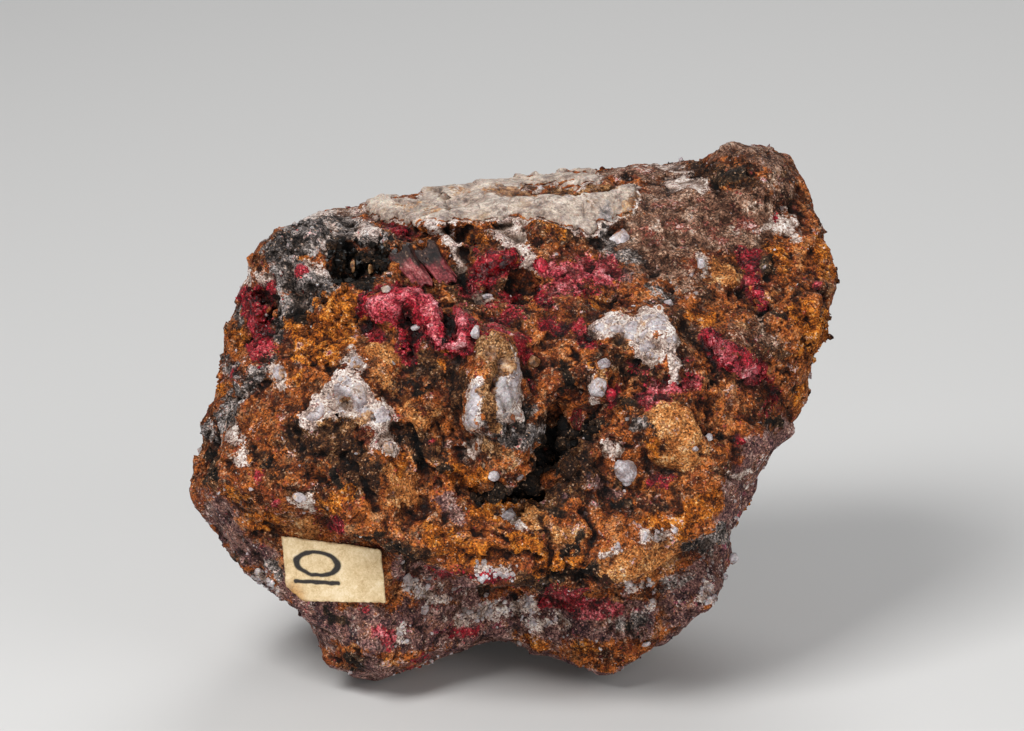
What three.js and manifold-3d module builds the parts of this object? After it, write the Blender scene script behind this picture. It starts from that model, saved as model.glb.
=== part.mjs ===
// Cuprite on matrix: a broken, fist-sized lump of iron-stained gossan rock, with red cuprite crusts and
// blocks, milky quartz, and a small numbered paper slip glued to its lower left.
// Millimetres, +Z up. The rock is shaped in its own face frame, with x to the right, y away from the viewer
// and z up the face, and then leans back to stand on its flat broken base.
import * as THREE from "three";
import { ImprovedNoise } from "three/addons/math/ImprovedNoise.js";
import { mergeVertices } from "three/addons/utils/BufferGeometryUtils.js";
import Module from "manifold-3d";

const wasm = await Module();
wasm.setup();
const noise = new ImprovedNoise();

// Driving dimensions
const FACE_LEAN = THREE.MathUtils.degToRad(18); // the face leans back by this much
const FRONT_DEPTH = 25; // from the middle of the rock to its face
const BACK_DEPTH = 31; // from the middle of the rock to its back
const SQUARENESS = 2.7; // 2 would be an ellipsoid, more is boxier
const BASE_DROP = 34.6; // from the middle of the rock down to the base it stands on
const SEAT_GAP = 0.3; // clearance round every piece that sits in the matrix
const MESH_DETAIL = 13; // splits of each icosahedron edge of the rock
const BED_DETAIL = 7; // and of the beds under the pieces seated in it
const FACE_CROWDING = 0.3; // draws mesh points towards the face, where the relief is finest
const OUTSIDE = 60; // further from the middle than any part of the rock

// Outline of the rock as the viewer sees it, anticlockwise from the right, to the nearest half millimetre.
const OUTLINE = [
  [39, 0], [40.5, 1], [40, 5.5], [42.5, 9], [43, 14], [44.5, 18.5], [43, 21], [43, 24], [41.5, 27.5],
  [40.5, 31], [39, 34.5], [36, 37], [34, 37.5], [30, 36.5], [25.5, 35.5], [23.5, 34], [20, 34.5],
  [12, 33.5], [0, 31.5], [-8, 30], [-15.5, 29.5], [-21, 28.5], [-24, 28.5], [-29, 26.5], [-35.5, 21],
  [-37.5, 18], [-40, 14.5], [-41, 5], [-42, 0], [-43, -5], [-44.5, -9.5], [-43.5, -15], [-41.5, -18],
  [-38, -22.5], [-34.5, -25], [-30.5, -28], [-28, -31], [-24.5, -35.5], [-22.5, -37.5], [-18.5, -37.5],
  [-14, -36], [-7.5, -33.5], [-4, -32], [0, -32.5], [2, -34], [7, -34.5], [9.5, -36], [12, -36.5],
  [14, -36], [17.5, -33.5], [22.5, -30.5], [27, -26.5], [30.5, -23.5], [32, -18], [33, -14.5], [33, -11],
  [35.5, -7], [38, -4.5], [39.5, -2],
];

// Flat breaks that square the rock off: outward normal, distance from the middle and rounding of the edge.
const BREAKS = [
  { name: "top of the slab", normal: [-0.1, -0.32, 0.94], distance: 27.2, rounding: 1.5 },
  { name: "upper right slope", normal: [0.14, -0.77, 0.62], distance: 24.5, rounding: 4 },
  { name: "upper left shoulder", normal: [-0.55, -0.55, 0.63], distance: 35.5, rounding: 5 },
  { name: "lower right back", normal: [0.62, 0.5, -0.6], distance: 33, rounding: 5 },
  { name: "rear face", normal: [-0.25, 0.95, 0.18], distance: 27, rounding: 4 },
  { name: "rear left", normal: [-0.8, 0.58, 0.1], distance: 34, rounding: 5 },
];

// Lumps, ledges, ridges and pits. A path is a run of points on the face (or the back), width is how far the
// form spreads from it, and rise is its height. A sharp form has a flat top and steep sides.
const FORMS = [
  { name: "left dome", path: [[-32, -5], [-22, -10]], width: 14, rise: 5 },
  { name: "dome shoulder", path: [[-26, 3], [-19, 5]], width: 6, rise: 2 },
  { name: "diagonal rim", path: [[-28.5, 11], [-35, 5]], width: 4, rise: 2.2 },
  { name: "left flank hollow", path: [[-37, 15], [-38.5, 5]], width: 5, rise: -4, sharp: true },
  { name: "pocket under the slab", path: [[-12, 19], [-1.5, 18.5]], width: 5.5, rise: -4.5, sharp: true },
  { name: "limonite nest", path: [[-28, 12], [-23, 12]], width: 5.5, rise: -2 },
  {
    name: "curl ridge",
    path: [[-18.5, 13.5], [-14.5, 15], [-11, 12], [-9, 8.8], [-6, 10.5]],
    width: 2.6,
    rise: 1.4,
  },
  { name: "quartz knob", path: [[-2.6, 7.5], [-3.6, 1]], width: 5, rise: 5.5 },
  { name: "knob foot", path: [[-1, -3], [-2, -7.5]], width: 6, rise: 6 },
  { name: "cave", path: [[6.2, -1], [4.6, -6], [0.8, -11]], width: 3.2, rise: -4 },
  { name: "cave mouth", path: [[8.5, 1], [5.5, -6]], width: 5.5, rise: -2.4 },
  { name: "left crack", path: [[-12, -12.5], [-13, -8], [-15, -3]], width: 2, rise: -3.5 },
  { name: "crack under the knob foot", path: [[-7, -12], [-1, -12]], width: 2, rise: -2.5 },
  { name: "brown lump", path: [[-12.6, -1], [-11.5, 1.5]], width: 4, rise: 2.6 },
  { name: "tan lump", path: [[-18, -9.5], [-16.5, -11.5]], width: 4, rise: 2.4 },
  { name: "tan nodule", path: [[20.5, -2.5], [22.5, -5]], width: 7.5, rise: 4.2 },
  { name: "orange drop", path: [[11.4, 5.5], [11.4, 2.5]], width: 2.8, rise: 3.4 },
  { name: "white patch mound", path: [[14, 10], [19, 11]], width: 5, rise: 1.6 },
  { name: "streak step", path: [[25.6, 8.4], [35.3, 2.2]], width: 2.4, rise: -2.2 },
  { name: "right pocket", path: [[33, 19.5], [33.8, 15.5]], width: 3.4, rise: -3.4 },
  { name: "front right ridge", path: [[23, 29], [38, 25.5]], width: 4, rise: 2 },
  { name: "orange flank knob", path: [[42.6, 17.5], [42.8, 15]], width: 3.2, rise: 1.6 },
  {
    name: "lower shelf",
    path: [[-10.6, -17], [0.6, -19.5], [13, -18.5], [24, -12.5], [29, -6]],
    width: 7,
    rise: 4,
  },
  { name: "shelf lump", path: [[-1, -14.5], [4, -15]], width: 4, rise: 2 },
  {
    name: "undercut",
    path: [[-13, -28], [0.6, -31], [15, -29.5], [26.5, -22], [33, -13], [38.5, -5]],
    width: 7.8,
    rise: -9,
    sharp: true,
  },
  { name: "left foot", path: [[-23, -35], [-17, -35.5]], width: 5, rise: 1.2 },
  { name: "right foot", path: [[11, -34.5], [16, -33]], width: 4, rise: 1 },
  { name: "back hump", side: "back", path: [[-18, 4], [2, 10]], width: 15, rise: 3.5 },
  {
    name: "back ledge",
    side: "back",
    path: [[-30, -6], [0, -12], [24, -8]],
    width: 7,
    rise: -4,
    sharp: true,
  },
  { name: "back scoop", side: "back", path: [[20, 14], [26, 8]], width: 9, rise: -5 },
  { name: "back ridge", side: "back", path: [[-34, 16], [-16, 24]], width: 5, rise: 2.5 },
];

// Rounded masses joined to the rock and deep hollows cut into it: middle, half sizes and mesh splits.
const MASSES = [
  { name: "cap behind the right end of the slab", at: [32.2, 8, 28.9], half: [9, 13.5, 8.2], detail: 4 },
  { name: "swell behind the slab", at: [18, 8, 28.6], half: [9.5, 8, 5.8], detail: 3 },
  { name: "grey mass round the vug", at: [-29.2, -8, 18], half: [8, 7.5, 7.2], detail: 3 },
];
const HOLLOWS = [
  { name: "vug", at: [-21.3, -15.5, 20.8], half: [4.8, 7.5, 5], detail: 2 },
  { name: "cave beside the knob", at: [5.4, -21.5, -5], half: [1.9, 4.2, 3.2], detail: 2 },
  { name: "cave under the knob", at: [0.4, -22.5, -11.4], half: [3.2, 3.8, 1.1], detail: 2 },
];
const MASS_LUMPS = { size: 5, height: 2.2 };

// Broken surface of the rock: rounded lumps parted by creases, from coarse to fine.
const GRAIN = [
  { size: 12, height: 4.2 },
  { size: 6, height: 2.6 },
  { size: 3.4, height: 1.5 },
];
const CREASE_LEVEL = 0.22; // the part of a lump's height that lies below the mean surface
const RIM_FADE = { least: 0.3, over: 0.36 }; // relief is lower near the outline, which already has its own

// The flat spot that the paper slip is glued to.
const SLIP_SPOT = { at: [-25.1, -22.2], normal: [-0.24, -0.92, -0.3], sink: 1.6, reach: 7.8, blend: 3 };

// Pieces seated in the matrix. An outline is drawn as the viewer sees the piece.
const SLAB_OUTLINE = [
  [-21.4, 27.8], [-16, 29.2], [-9, 30], [-2, 30.9], [2.6, 32], [11.4, 32.3], [13.3, 30.6], [17.6, 30.2],
  [16.9, 27.5], [13.3, 25.4], [11.7, 23.6], [8.9, 23.8], [6, 25.5], [2, 26], [-2.2, 25.7], [-6.4, 25.2],
  [-10.6, 24.6], [-14.4, 25.2], [-18.2, 26.6],
];
const KNOB_OUTLINE = [
  [-4, 9.7], [-1.5, 10], [0.3, 8.1], [0.8, 4.6], [1.9, 1.4], [0.6, -0.3], [-2.2, -0.6], [-4.3, -2.4],
  [-6.7, -3.1], [-7.5, -1.7], [-6.4, 1.8], [-5.3, 5.3], [-5, 8.1],
];
const LEFT_PATCH_OUTLINE = [
  [-30, -1.7], [-27.5, 1.1], [-24.4, 3.9], [-23, 6.4], [-21.4, 5.3], [-19.6, 2.5], [-17.1, 0.4],
  [-17.2, -2.8], [-19.6, -2.8], [-22.4, -0.6], [-25.1, -1], [-27.5, -3],
];
const RIGHT_PATCH_OUTLINE = [
  [10.3, 11.5], [13.3, 12.9], [17.2, 14.2], [20.3, 13.9], [21.4, 12.2], [21.1, 8.8], [22.5, 5],
  [21.1, 4.2], [19.5, 6.7], [16.5, 6.4], [14.2, 8], [11.7, 8.8],
];
const CURL_OUTLINE = [
  [-20.8, 12.2], [-20, 15], [-17.2, 16], [-13.6, 15.3], [-11.7, 13.9], [-10.6, 11.9], [-9.4, 10],
  [-7.7, 10], [-7.1, 12.5], [-5.3, 12.8], [-4.7, 10.3], [-6.1, 8.1], [-9.4, 7.2], [-11.7, 8.9],
  [-13.3, 8.8], [-15, 8.3], [-16.1, 10.8], [-18.2, 11.9],
];
const RUBY_OUTLINE = [[-5.7, 16.4], [-5, 19.9], [-2.9, 21.6], [-0.8, 20.8], [-0.5, 18.5], [-2.2, 16.7]];
const STREAK_OUTLINE = [
  [26, 9.7], [27.8, 9.2], [31.1, 7.4], [35, 4.2], [33.2, 3.2], [30.4, 4.6], [27.2, 6.9],
];
const POCKET_OUTLINE = [
  [31.4, 20.8], [33.9, 21.4], [34.6, 19.4], [34.2, 17.1], [35, 13.9], [33.2, 14.3], [32.2, 16.7],
];
const FLANK_OUTLINE = [
  [-37.4, 15.4], [-34.6, 16.2], [-34, 12.5], [-34.3, 8.8], [-36.5, 6.4], [-37.8, 9.4], [-38, 12.9],
];

const QUARTZ = { thickness: 2.6, rise: 0.7, crystals: 0, crystalRadius: [0, 0] };
const CRUST = { thickness: 2, rise: 0.5, crystals: 7, crystalRadius: [0.8, 1.5] };

const BLOCK_SIZE = [2.7, 5.6, 5]; // across, along and into the pocket
const BLOCK_CHAMFER = 0.5;
const BLOCK_TURN = THREE.MathUtils.degToRad(36); // both blocks run from upper left to lower right
const BLOCKS = [
  { name: "cuprite_block_left", at: [-14.2, 19], proud: 1.6 },
  { name: "cuprite_block_right", at: [-10.8, 19.5], proud: 0.9 },
];

// The paper slip, with its lower left corner torn away, about its own middle.
const SLIP_OUTLINE = [[-7.3, 4.5], [6.7, 3.9], [7.3, -3.8], [-4.3, -4.6], [-6.7, -2.5]];
const SLIP_THICKNESS = 0.35;

const FINISHES = {
  matrix: new THREE.MeshStandardMaterial({ color: 0x8f5a30, roughness: 0.9, metalness: 0 }),
  quartz: new THREE.MeshStandardMaterial({ color: 0xd8d0c8, roughness: 0.45, metalness: 0 }),
  cuprite: new THREE.MeshStandardMaterial({ color: 0xb02343, roughness: 0.4, metalness: 0 }),
  paper: new THREE.MeshStandardMaterial({ color: 0xd6bd90, roughness: 0.85, metalness: 0 }),
};

// How far the outline reaches from the middle at an angle about the line of sight.
const outlineCurve = new THREE.CatmullRomCurve3(
  OUTLINE.map(([x, z]) => new THREE.Vector3(x, 0, z)),
  true,
  "centripetal",
);
const OUTLINE_STEPS = 720;
const rim = outlineCurve
  .getPoints(OUTLINE_STEPS)
  .map((p) => ({ angle: Math.atan2(p.z, p.x), reach: Math.hypot(p.x, p.z) }))
  .sort((a, b) => a.angle - b.angle);
function outlineReach(angle) {
  const after = rim.findIndex((p) => p.angle > angle);
  const next = rim[after < 0 ? 0 : after];
  const last = rim.at(after < 0 ? -1 : after - 1);
  const turn = 2 * Math.PI;
  const span = (next.angle - last.angle + turn) % turn;
  const share = span > 0 ? ((angle - last.angle + turn) % turn) / span : 0;
  return THREE.MathUtils.lerp(last.reach, next.reach, share);
}

// The smaller of two lengths, with the corner between them rounded.
function roundedMin(a, b, rounding) {
  const overlap = Math.max(rounding - Math.abs(a - b), 0) / rounding;
  return Math.min(a, b) - (overlap * overlap * rounding) / 4;
}

// Distance from the middle to a plane, along a direction.
function planeReach(direction, normal, distance) {
  const facing = direction.dot(normal);
  return facing > 0.01 ? distance / facing : Infinity;
}

// The rock without its forms and grain, as a distance from the middle along a direction.
const breaks = BREAKS.map((b) => ({ ...b, normal: new THREE.Vector3(...b.normal).normalize() }));
function bodyRadius(direction) {
  const across = Math.hypot(direction.x, direction.z);
  const reach = outlineReach(Math.atan2(direction.z, direction.x));
  const depth = direction.y < 0 ? FRONT_DEPTH : BACK_DEPTH;
  const squared = (across / reach) ** SQUARENESS + (Math.abs(direction.y) / depth) ** SQUARENESS;
  let radius = squared ** (-1 / SQUARENESS);
  for (const { normal, distance, rounding } of breaks)
    radius = roundedMin(radius, planeReach(direction, normal, distance), rounding);
  return radius;
}

// The point of a surface that the viewer sees at x and z on the face, or straight behind it on the back.
function pointOn(radiusOf, [x, z], side = "face") {
  let out = side === "back" ? OUTSIDE : -OUTSIDE;
  let inside = 0;
  const p = new THREE.Vector3();
  const halvings = 26;
  for (let i = 0; i < halvings; i++) {
    p.set(x, (out + inside) / 2, z);
    const length = p.length();
    if (length < radiusOf(p.clone().divideScalar(length))) inside = p.y;
    else out = p.y;
  }
  return p;
}

// Height of all the forms at a point of the body.
const forms = FORMS.map(({ path, side, ...form }) => {
  const points = path.map((place) => pointOn(bodyRadius, place, side));
  return { ...form, runs: points.slice(1).map((end, i) => new THREE.Line3(points[i], end)) };
});
function formHeight(p) {
  const nearest = new THREE.Vector3();
  let height = 0;
  for (const { runs, width, rise, sharp } of forms) {
    const away = Math.min(...runs.map((run) => run.closestPointToPoint(p, true, nearest).distanceTo(p)));
    const share = away / width;
    if (share >= 1) continue;
    height += rise * (sharp ? 1 - THREE.MathUtils.smoothstep(share, 0.66, 1) : (1 - share * share) ** 2);
  }
  return height;
}

function grainHeight(p) {
  let height = 0;
  for (const { size, height: most } of GRAIN) {
    const lump = Math.abs(noise.noise(p.x / size + size, p.y / size, p.z / size));
    height += most * (lump - CREASE_LEVEL);
  }
  return height;
}

// The finished rock surface, with the flat spot under the paper slip.
const slipNormal = new THREE.Vector3(...SLIP_SPOT.normal).normalize();
const slipPoint = pointOn(bodyRadius, SLIP_SPOT.at).addScaledVector(slipNormal, -SLIP_SPOT.sink);
function rockRadius(direction) {
  const body = bodyRadius(direction);
  const p = direction.clone().multiplyScalar(body);
  const fade = THREE.MathUtils.smoothstep(Math.abs(direction.y), 0, RIM_FADE.over);
  const relief = (formHeight(p) + grainHeight(p)) * THREE.MathUtils.lerp(RIM_FADE.least, 1, fade);
  const away = p.distanceTo(slipPoint) - SLIP_SPOT.reach;
  if (away >= SLIP_SPOT.blend) return body + relief;
  const edge = outlineReach(Math.atan2(direction.z, direction.x)) / Math.hypot(direction.x, direction.z);
  const flat = Math.min(planeReach(direction, slipNormal, slipPoint.dot(slipNormal)), edge);
  return THREE.MathUtils.lerp(flat, body + relief, THREE.MathUtils.smoothstep(away, 0, SLIP_SPOT.blend));
}

// The slab is smoother than the rock round it: a plain break with only a slow swell.
const SLAB_SWELL = { size: 9, height: 1.6 };
function slabRadius(direction) {
  const body = bodyRadius(direction);
  const p = direction.clone().multiplyScalar(body / SLAB_SWELL.size);
  return body + SLAB_SWELL.height * noise.noise(p.x, p.y, p.z);
}

// A closed mesh as a solid for joining and cutting, and a solid back as a named mesh.
function solidOf(geometry) {
  const bare = geometry.clone();
  bare.deleteAttribute("normal");
  bare.deleteAttribute("uv");
  const merged = mergeVertices(bare, 1e-4);
  return new wasm.Manifold(
    new wasm.Mesh({
      numProp: 3,
      vertProperties: merged.attributes.position.array,
      triVerts: new Uint32Array(merged.index.array),
    }),
  );
}
function meshOf(name, solid, finish) {
  const { vertProperties, triVerts } = solid.getMesh();
  const geometry = new THREE.BufferGeometry()
    .setAttribute("position", new THREE.BufferAttribute(vertProperties, 3))
    .setIndex(new THREE.BufferAttribute(triVerts, 1));
  geometry.computeVertexNormals();
  const mesh = new THREE.Mesh(geometry, finish.clone());
  mesh.name = name;
  return mesh;
}

// A solid whose surface lies at radiusOf(direction) from the middle.
function roundSolid(radiusOf, detail = MESH_DETAIL) {
  const ball = new THREE.IcosahedronGeometry(1, detail);
  ball.deleteAttribute("normal");
  ball.deleteAttribute("uv");
  const geometry = mergeVertices(ball, 1e-4);
  const points = geometry.attributes.position;
  const direction = new THREE.Vector3();
  for (let i = 0; i < points.count; i++) {
    direction.fromBufferAttribute(points, i);
    direction.y -= FACE_CROWDING;
    direction.normalize();
    direction.multiplyScalar(radiusOf(direction));
    points.setXYZ(i, direction.x, direction.y, direction.z);
  }
  return solidOf(geometry);
}

// An outline moved outwards by a distance, corner by corner.
function grownOutline(outline, by) {
  const points = outline.map(([x, z]) => new THREE.Vector2(x, z));
  const turn = THREE.ShapeUtils.isClockWise(points) ? -1 : 1;
  return points.map((p, i) => {
    const before = p.clone().sub(points.at(i - 1)).normalize();
    const after = points[(i + 1) % points.length].clone().sub(p).normalize();
    const outward = before.add(after).normalize();
    return p.clone().add(new THREE.Vector2(outward.y, -outward.x).multiplyScalar(turn * by));
  });
}

// A straight column with that outline, along the line of sight, from the viewer's side to a depth.
function column(outline, farY, grow = 0) {
  const shape = new THREE.Shape(grownOutline(outline, grow));
  const geometry = new THREE.ExtrudeGeometry(shape, { depth: farY + OUTSIDE, bevelEnabled: false });
  geometry.rotateX(Math.PI / 2).translate(0, farY, 0);
  return solidOf(geometry);
}

// A stream of repeatable random numbers from 0 to 1.
function randomStream(seed) {
  let state = seed;
  return () => {
    state = (Math.imul(state, 1664525) + 1013904223) >>> 0;
    return state / 2 ** 32;
  };
}

// Small octahedral crystals scattered over a surface inside an outline.
function scatteredCrystals(outline, radiusOf, { crystals, crystalRadius }, seed) {
  const random = randomStream(seed);
  const area = outline.map(([x, z]) => new THREE.Vector2(x, z));
  const box = new THREE.Box2().setFromPoints(area);
  const inside = (x, z) =>
    area.reduce((odd, a, i) => {
      const b = area[(i + 1) % area.length];
      const crosses = a.y > z !== b.y > z && x < ((b.x - a.x) * (z - a.y)) / (b.y - a.y) + a.x;
      return crosses ? !odd : odd;
    }, false);
  const made = [];
  while (made.length < crystals) {
    const x = THREE.MathUtils.lerp(box.min.x, box.max.x, random());
    const z = THREE.MathUtils.lerp(box.min.y, box.max.y, random());
    if (!inside(x, z)) continue;
    const crystal = new THREE.OctahedronGeometry(THREE.MathUtils.lerp(...crystalRadius, random()));
    crystal.rotateX(random() * Math.PI).rotateY(random() * Math.PI).rotateZ(random() * Math.PI);
    const seat = pointOn(radiusOf, [x, z]);
    made.push(solidOf(crystal.translate(seat.x, seat.y, seat.z)));
  }
  return made;
}

function largestBody(solid) {
  const [largest] = solid.decompose().sort((a, b) => b.volume() - a.volume());
  return largest;
}

// A lumpy ball, for the rounded masses and the hollows.
function massSolid({ at, half, detail }) {
  const geometry = new THREE.IcosahedronGeometry(1, detail);
  const points = geometry.attributes.position;
  const middle = new THREE.Vector3(...at);
  for (let i = 0; i < points.count; i++) {
    const out = new THREE.Vector3().fromBufferAttribute(points, i);
    const p = out.clone().multiply(new THREE.Vector3(...half)).add(middle);
    const lump = Math.abs(noise.noise(p.x / MASS_LUMPS.size, p.y / MASS_LUMPS.size, p.z / MASS_LUMPS.size));
    p.addScaledVector(out, MASS_LUMPS.height * (lump - CREASE_LEVEL));
    points.setXYZ(i, p.x, p.y, p.z);
  }
  return solidOf(geometry);
}

let rock = roundSolid(rockRadius);
for (const mass of MASSES) rock = rock.add(massSolid(mass));
for (const hollow of HOLLOWS) rock = rock.subtract(massSolid(hollow));
const specimen = new THREE.Group();
const sockets = [];

// A piece that follows the surface inside an outline, and the socket that the matrix gives it.
function seatedPiece(name, outline, finish, build, { farY = 8, outer = rockRadius } = {}) {
  const { thickness, rise } = build;
  const crest = (direction) => outer(direction) + rise;
  const bed = (direction) => outer(direction) - thickness;
  const deeper = (direction) => outer(direction) - thickness - SEAT_GAP;
  let solid = roundSolid(crest);
  for (const crystal of scatteredCrystals(outline, crest, build, sockets.length + 1))
    solid = solid.add(crystal);
  solid = solid.subtract(roundSolid(bed, BED_DETAIL)).intersect(column(outline, farY));
  sockets.push(column(outline, farY, SEAT_GAP).subtract(roundSolid(deeper, BED_DETAIL)));
  specimen.add(meshOf(name, largestBody(solid), finish));
}

seatedPiece("quartz_slab", SLAB_OUTLINE, FINISHES.quartz, QUARTZ, { farY: 16, outer: slabRadius });
seatedPiece("quartz_knob", KNOB_OUTLINE, FINISHES.quartz, QUARTZ);
seatedPiece("quartz_patch_left", LEFT_PATCH_OUTLINE, FINISHES.quartz, QUARTZ);
seatedPiece("quartz_patch_right", RIGHT_PATCH_OUTLINE, FINISHES.quartz, QUARTZ);
seatedPiece("cuprite_curl", CURL_OUTLINE, FINISHES.cuprite, CRUST);
seatedPiece("cuprite_ruby", RUBY_OUTLINE, FINISHES.cuprite, CRUST);
seatedPiece("cuprite_streak", STREAK_OUTLINE, FINISHES.cuprite, CRUST);
seatedPiece("cuprite_pocket", POCKET_OUTLINE, FINISHES.cuprite, CRUST);
seatedPiece("cuprite_flank", FLANK_OUTLINE, FINISHES.cuprite, CRUST, { farY: -2 });

// Two blocky cuprite crystals side by side in the pocket under the slab, each in a socket of its own.
function blockGeometry(grow) {
  const [across, along, into] = BLOCK_SIZE.map((length) => length / 2 + grow);
  const cut = BLOCK_CHAMFER;
  const section = new THREE.Shape([
    new THREE.Vector2(-across + cut, -along),
    new THREE.Vector2(across - cut, -along),
    new THREE.Vector2(across, -along + cut),
    new THREE.Vector2(across, along - cut),
    new THREE.Vector2(across - cut, along),
    new THREE.Vector2(-across + cut, along),
    new THREE.Vector2(-across, along - cut),
    new THREE.Vector2(-across, -along + cut),
  ]);
  const geometry = new THREE.ExtrudeGeometry(section, { depth: 2 * into, bevelEnabled: false });
  return geometry.translate(0, 0, -into).rotateZ(BLOCK_TURN).rotateX(Math.PI / 2);
}
for (const { name, at, proud } of BLOCKS) {
  const seat = pointOn(rockRadius, at);
  const middle = new THREE.Vector3(seat.x, seat.y + BLOCK_SIZE[2] / 2 - proud, seat.z);
  const place = (geometry) => solidOf(geometry.translate(middle.x, middle.y, middle.z));
  specimen.add(meshOf(name, place(blockGeometry(0)), FINISHES.cuprite));
  sockets.push(place(blockGeometry(SEAT_GAP)));
}

// The matrix is the rock without the sockets, broken off flat below.
const down = new THREE.Vector3(0, Math.sin(FACE_LEAN), -Math.cos(FACE_LEAN));
const belowBase = new THREE.BoxGeometry(4 * OUTSIDE, 4 * OUTSIDE, 2 * OUTSIDE);
belowBase.rotateX(FACE_LEAN).translate(...down.clone().multiplyScalar(BASE_DROP + OUTSIDE).toArray());
const matrix = sockets.reduce((left, socket) => left.subtract(socket), rock).subtract(solidOf(belowBase));
specimen.add(meshOf("matrix", largestBody(matrix), FINISHES.matrix));

// The paper slip lies on its flat spot, square to it.
const slip = new THREE.Mesh(
  new THREE.ExtrudeGeometry(new THREE.Shape(SLIP_OUTLINE.map(([x, z]) => new THREE.Vector2(x, z))), {
    depth: SLIP_THICKNESS,
    bevelEnabled: false,
  }),
  FINISHES.paper,
);
slip.name = "number_slip";
const slipRight = new THREE.Vector3(1, 0, 0).addScaledVector(slipNormal, -slipNormal.x).normalize();
const slipUp = slipNormal.clone().cross(slipRight);
slip.quaternion.setFromRotationMatrix(new THREE.Matrix4().makeBasis(slipRight, slipUp, slipNormal));
slip.position.copy(slipPoint).addScaledVector(slipNormal, SEAT_GAP);
specimen.add(slip);

// Leaned back, and stood on its base over the origin.
specimen.rotation.x = -FACE_LEAN;
const footprint = new THREE.Box3().setFromObject(specimen, true).getCenter(new THREE.Vector3());
specimen.position.set(-footprint.x, -footprint.y, BASE_DROP);

export default specimen;
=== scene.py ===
# Cuprite on matrix: the looks of a broken gossan lump with milky quartz, red cuprite and a numbered slip.
# Blender works in metres, +Z up. Sizes below are in millimetres unless a name says otherwise.
import itertools
import math

import bpy
import numpy as np
from mathutils import Matrix, Vector
from mathutils.bvhtree import BVHTree
from mathutils.kdtree import KDTree


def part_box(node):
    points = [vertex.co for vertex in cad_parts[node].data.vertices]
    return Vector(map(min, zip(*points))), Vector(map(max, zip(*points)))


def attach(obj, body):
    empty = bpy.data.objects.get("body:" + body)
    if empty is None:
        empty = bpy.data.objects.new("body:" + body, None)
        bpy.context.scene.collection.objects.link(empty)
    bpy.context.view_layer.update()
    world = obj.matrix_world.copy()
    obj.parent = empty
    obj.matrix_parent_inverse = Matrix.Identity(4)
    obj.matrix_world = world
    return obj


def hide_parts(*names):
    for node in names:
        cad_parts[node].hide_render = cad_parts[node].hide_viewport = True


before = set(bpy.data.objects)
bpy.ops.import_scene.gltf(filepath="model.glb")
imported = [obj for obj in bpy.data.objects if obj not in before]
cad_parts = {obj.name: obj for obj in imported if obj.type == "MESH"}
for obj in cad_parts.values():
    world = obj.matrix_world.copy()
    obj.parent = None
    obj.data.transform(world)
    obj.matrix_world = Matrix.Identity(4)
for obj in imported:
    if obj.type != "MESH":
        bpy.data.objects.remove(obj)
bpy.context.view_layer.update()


# The gossan lump
# One natural piece of iron-stained rock: crumbly limonite and goethite with clay, quartz and pits.
# It was broken by hand, so its skin is chips and lumps parted by dark crevices. All else grows on it.
MM = 0.001
MERGE_REACH = 0.005
ROCK_VOXEL = 0.42
SOCKET_CLOSING = 0.42
BLOCK_CLOSING = -0.5
FACET_SMOOTHING = 5
ROCK_TRIANGLES = 192000
FACE_LEAN = math.radians(18)
FACE_MIDDLE = np.array((0.174, -0.9, 34.6))
VIEW_DISTANCE = 711.1
VIEW_AXIS = np.array((-0.556, 5.9))
INLAYS = ("quartz_slab", "quartz_knob", "quartz_patch_left", "quartz_patch_right", "cuprite_curl",
          "cuprite_ruby", "cuprite_streak", "cuprite_pocket", "cuprite_flank")
BLOCKS = ("cuprite_block_left", "cuprite_block_right")

# Paths of two forms that several minerals follow, across and up the face from its middle.
CURL = ((-20.5, 14), (-18, 15), (-15, 15.7), (-12.5, 14.8), (-11.3, 12.4), (-11, 10), (-9.5, 8.5), (-7.7, 9),
        (-7, 11), (-7.6, 12.7))
RUSTY_LENS = ((3.2, 25.2), (5.2, 24.4), (7.8, 23.4))

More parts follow.
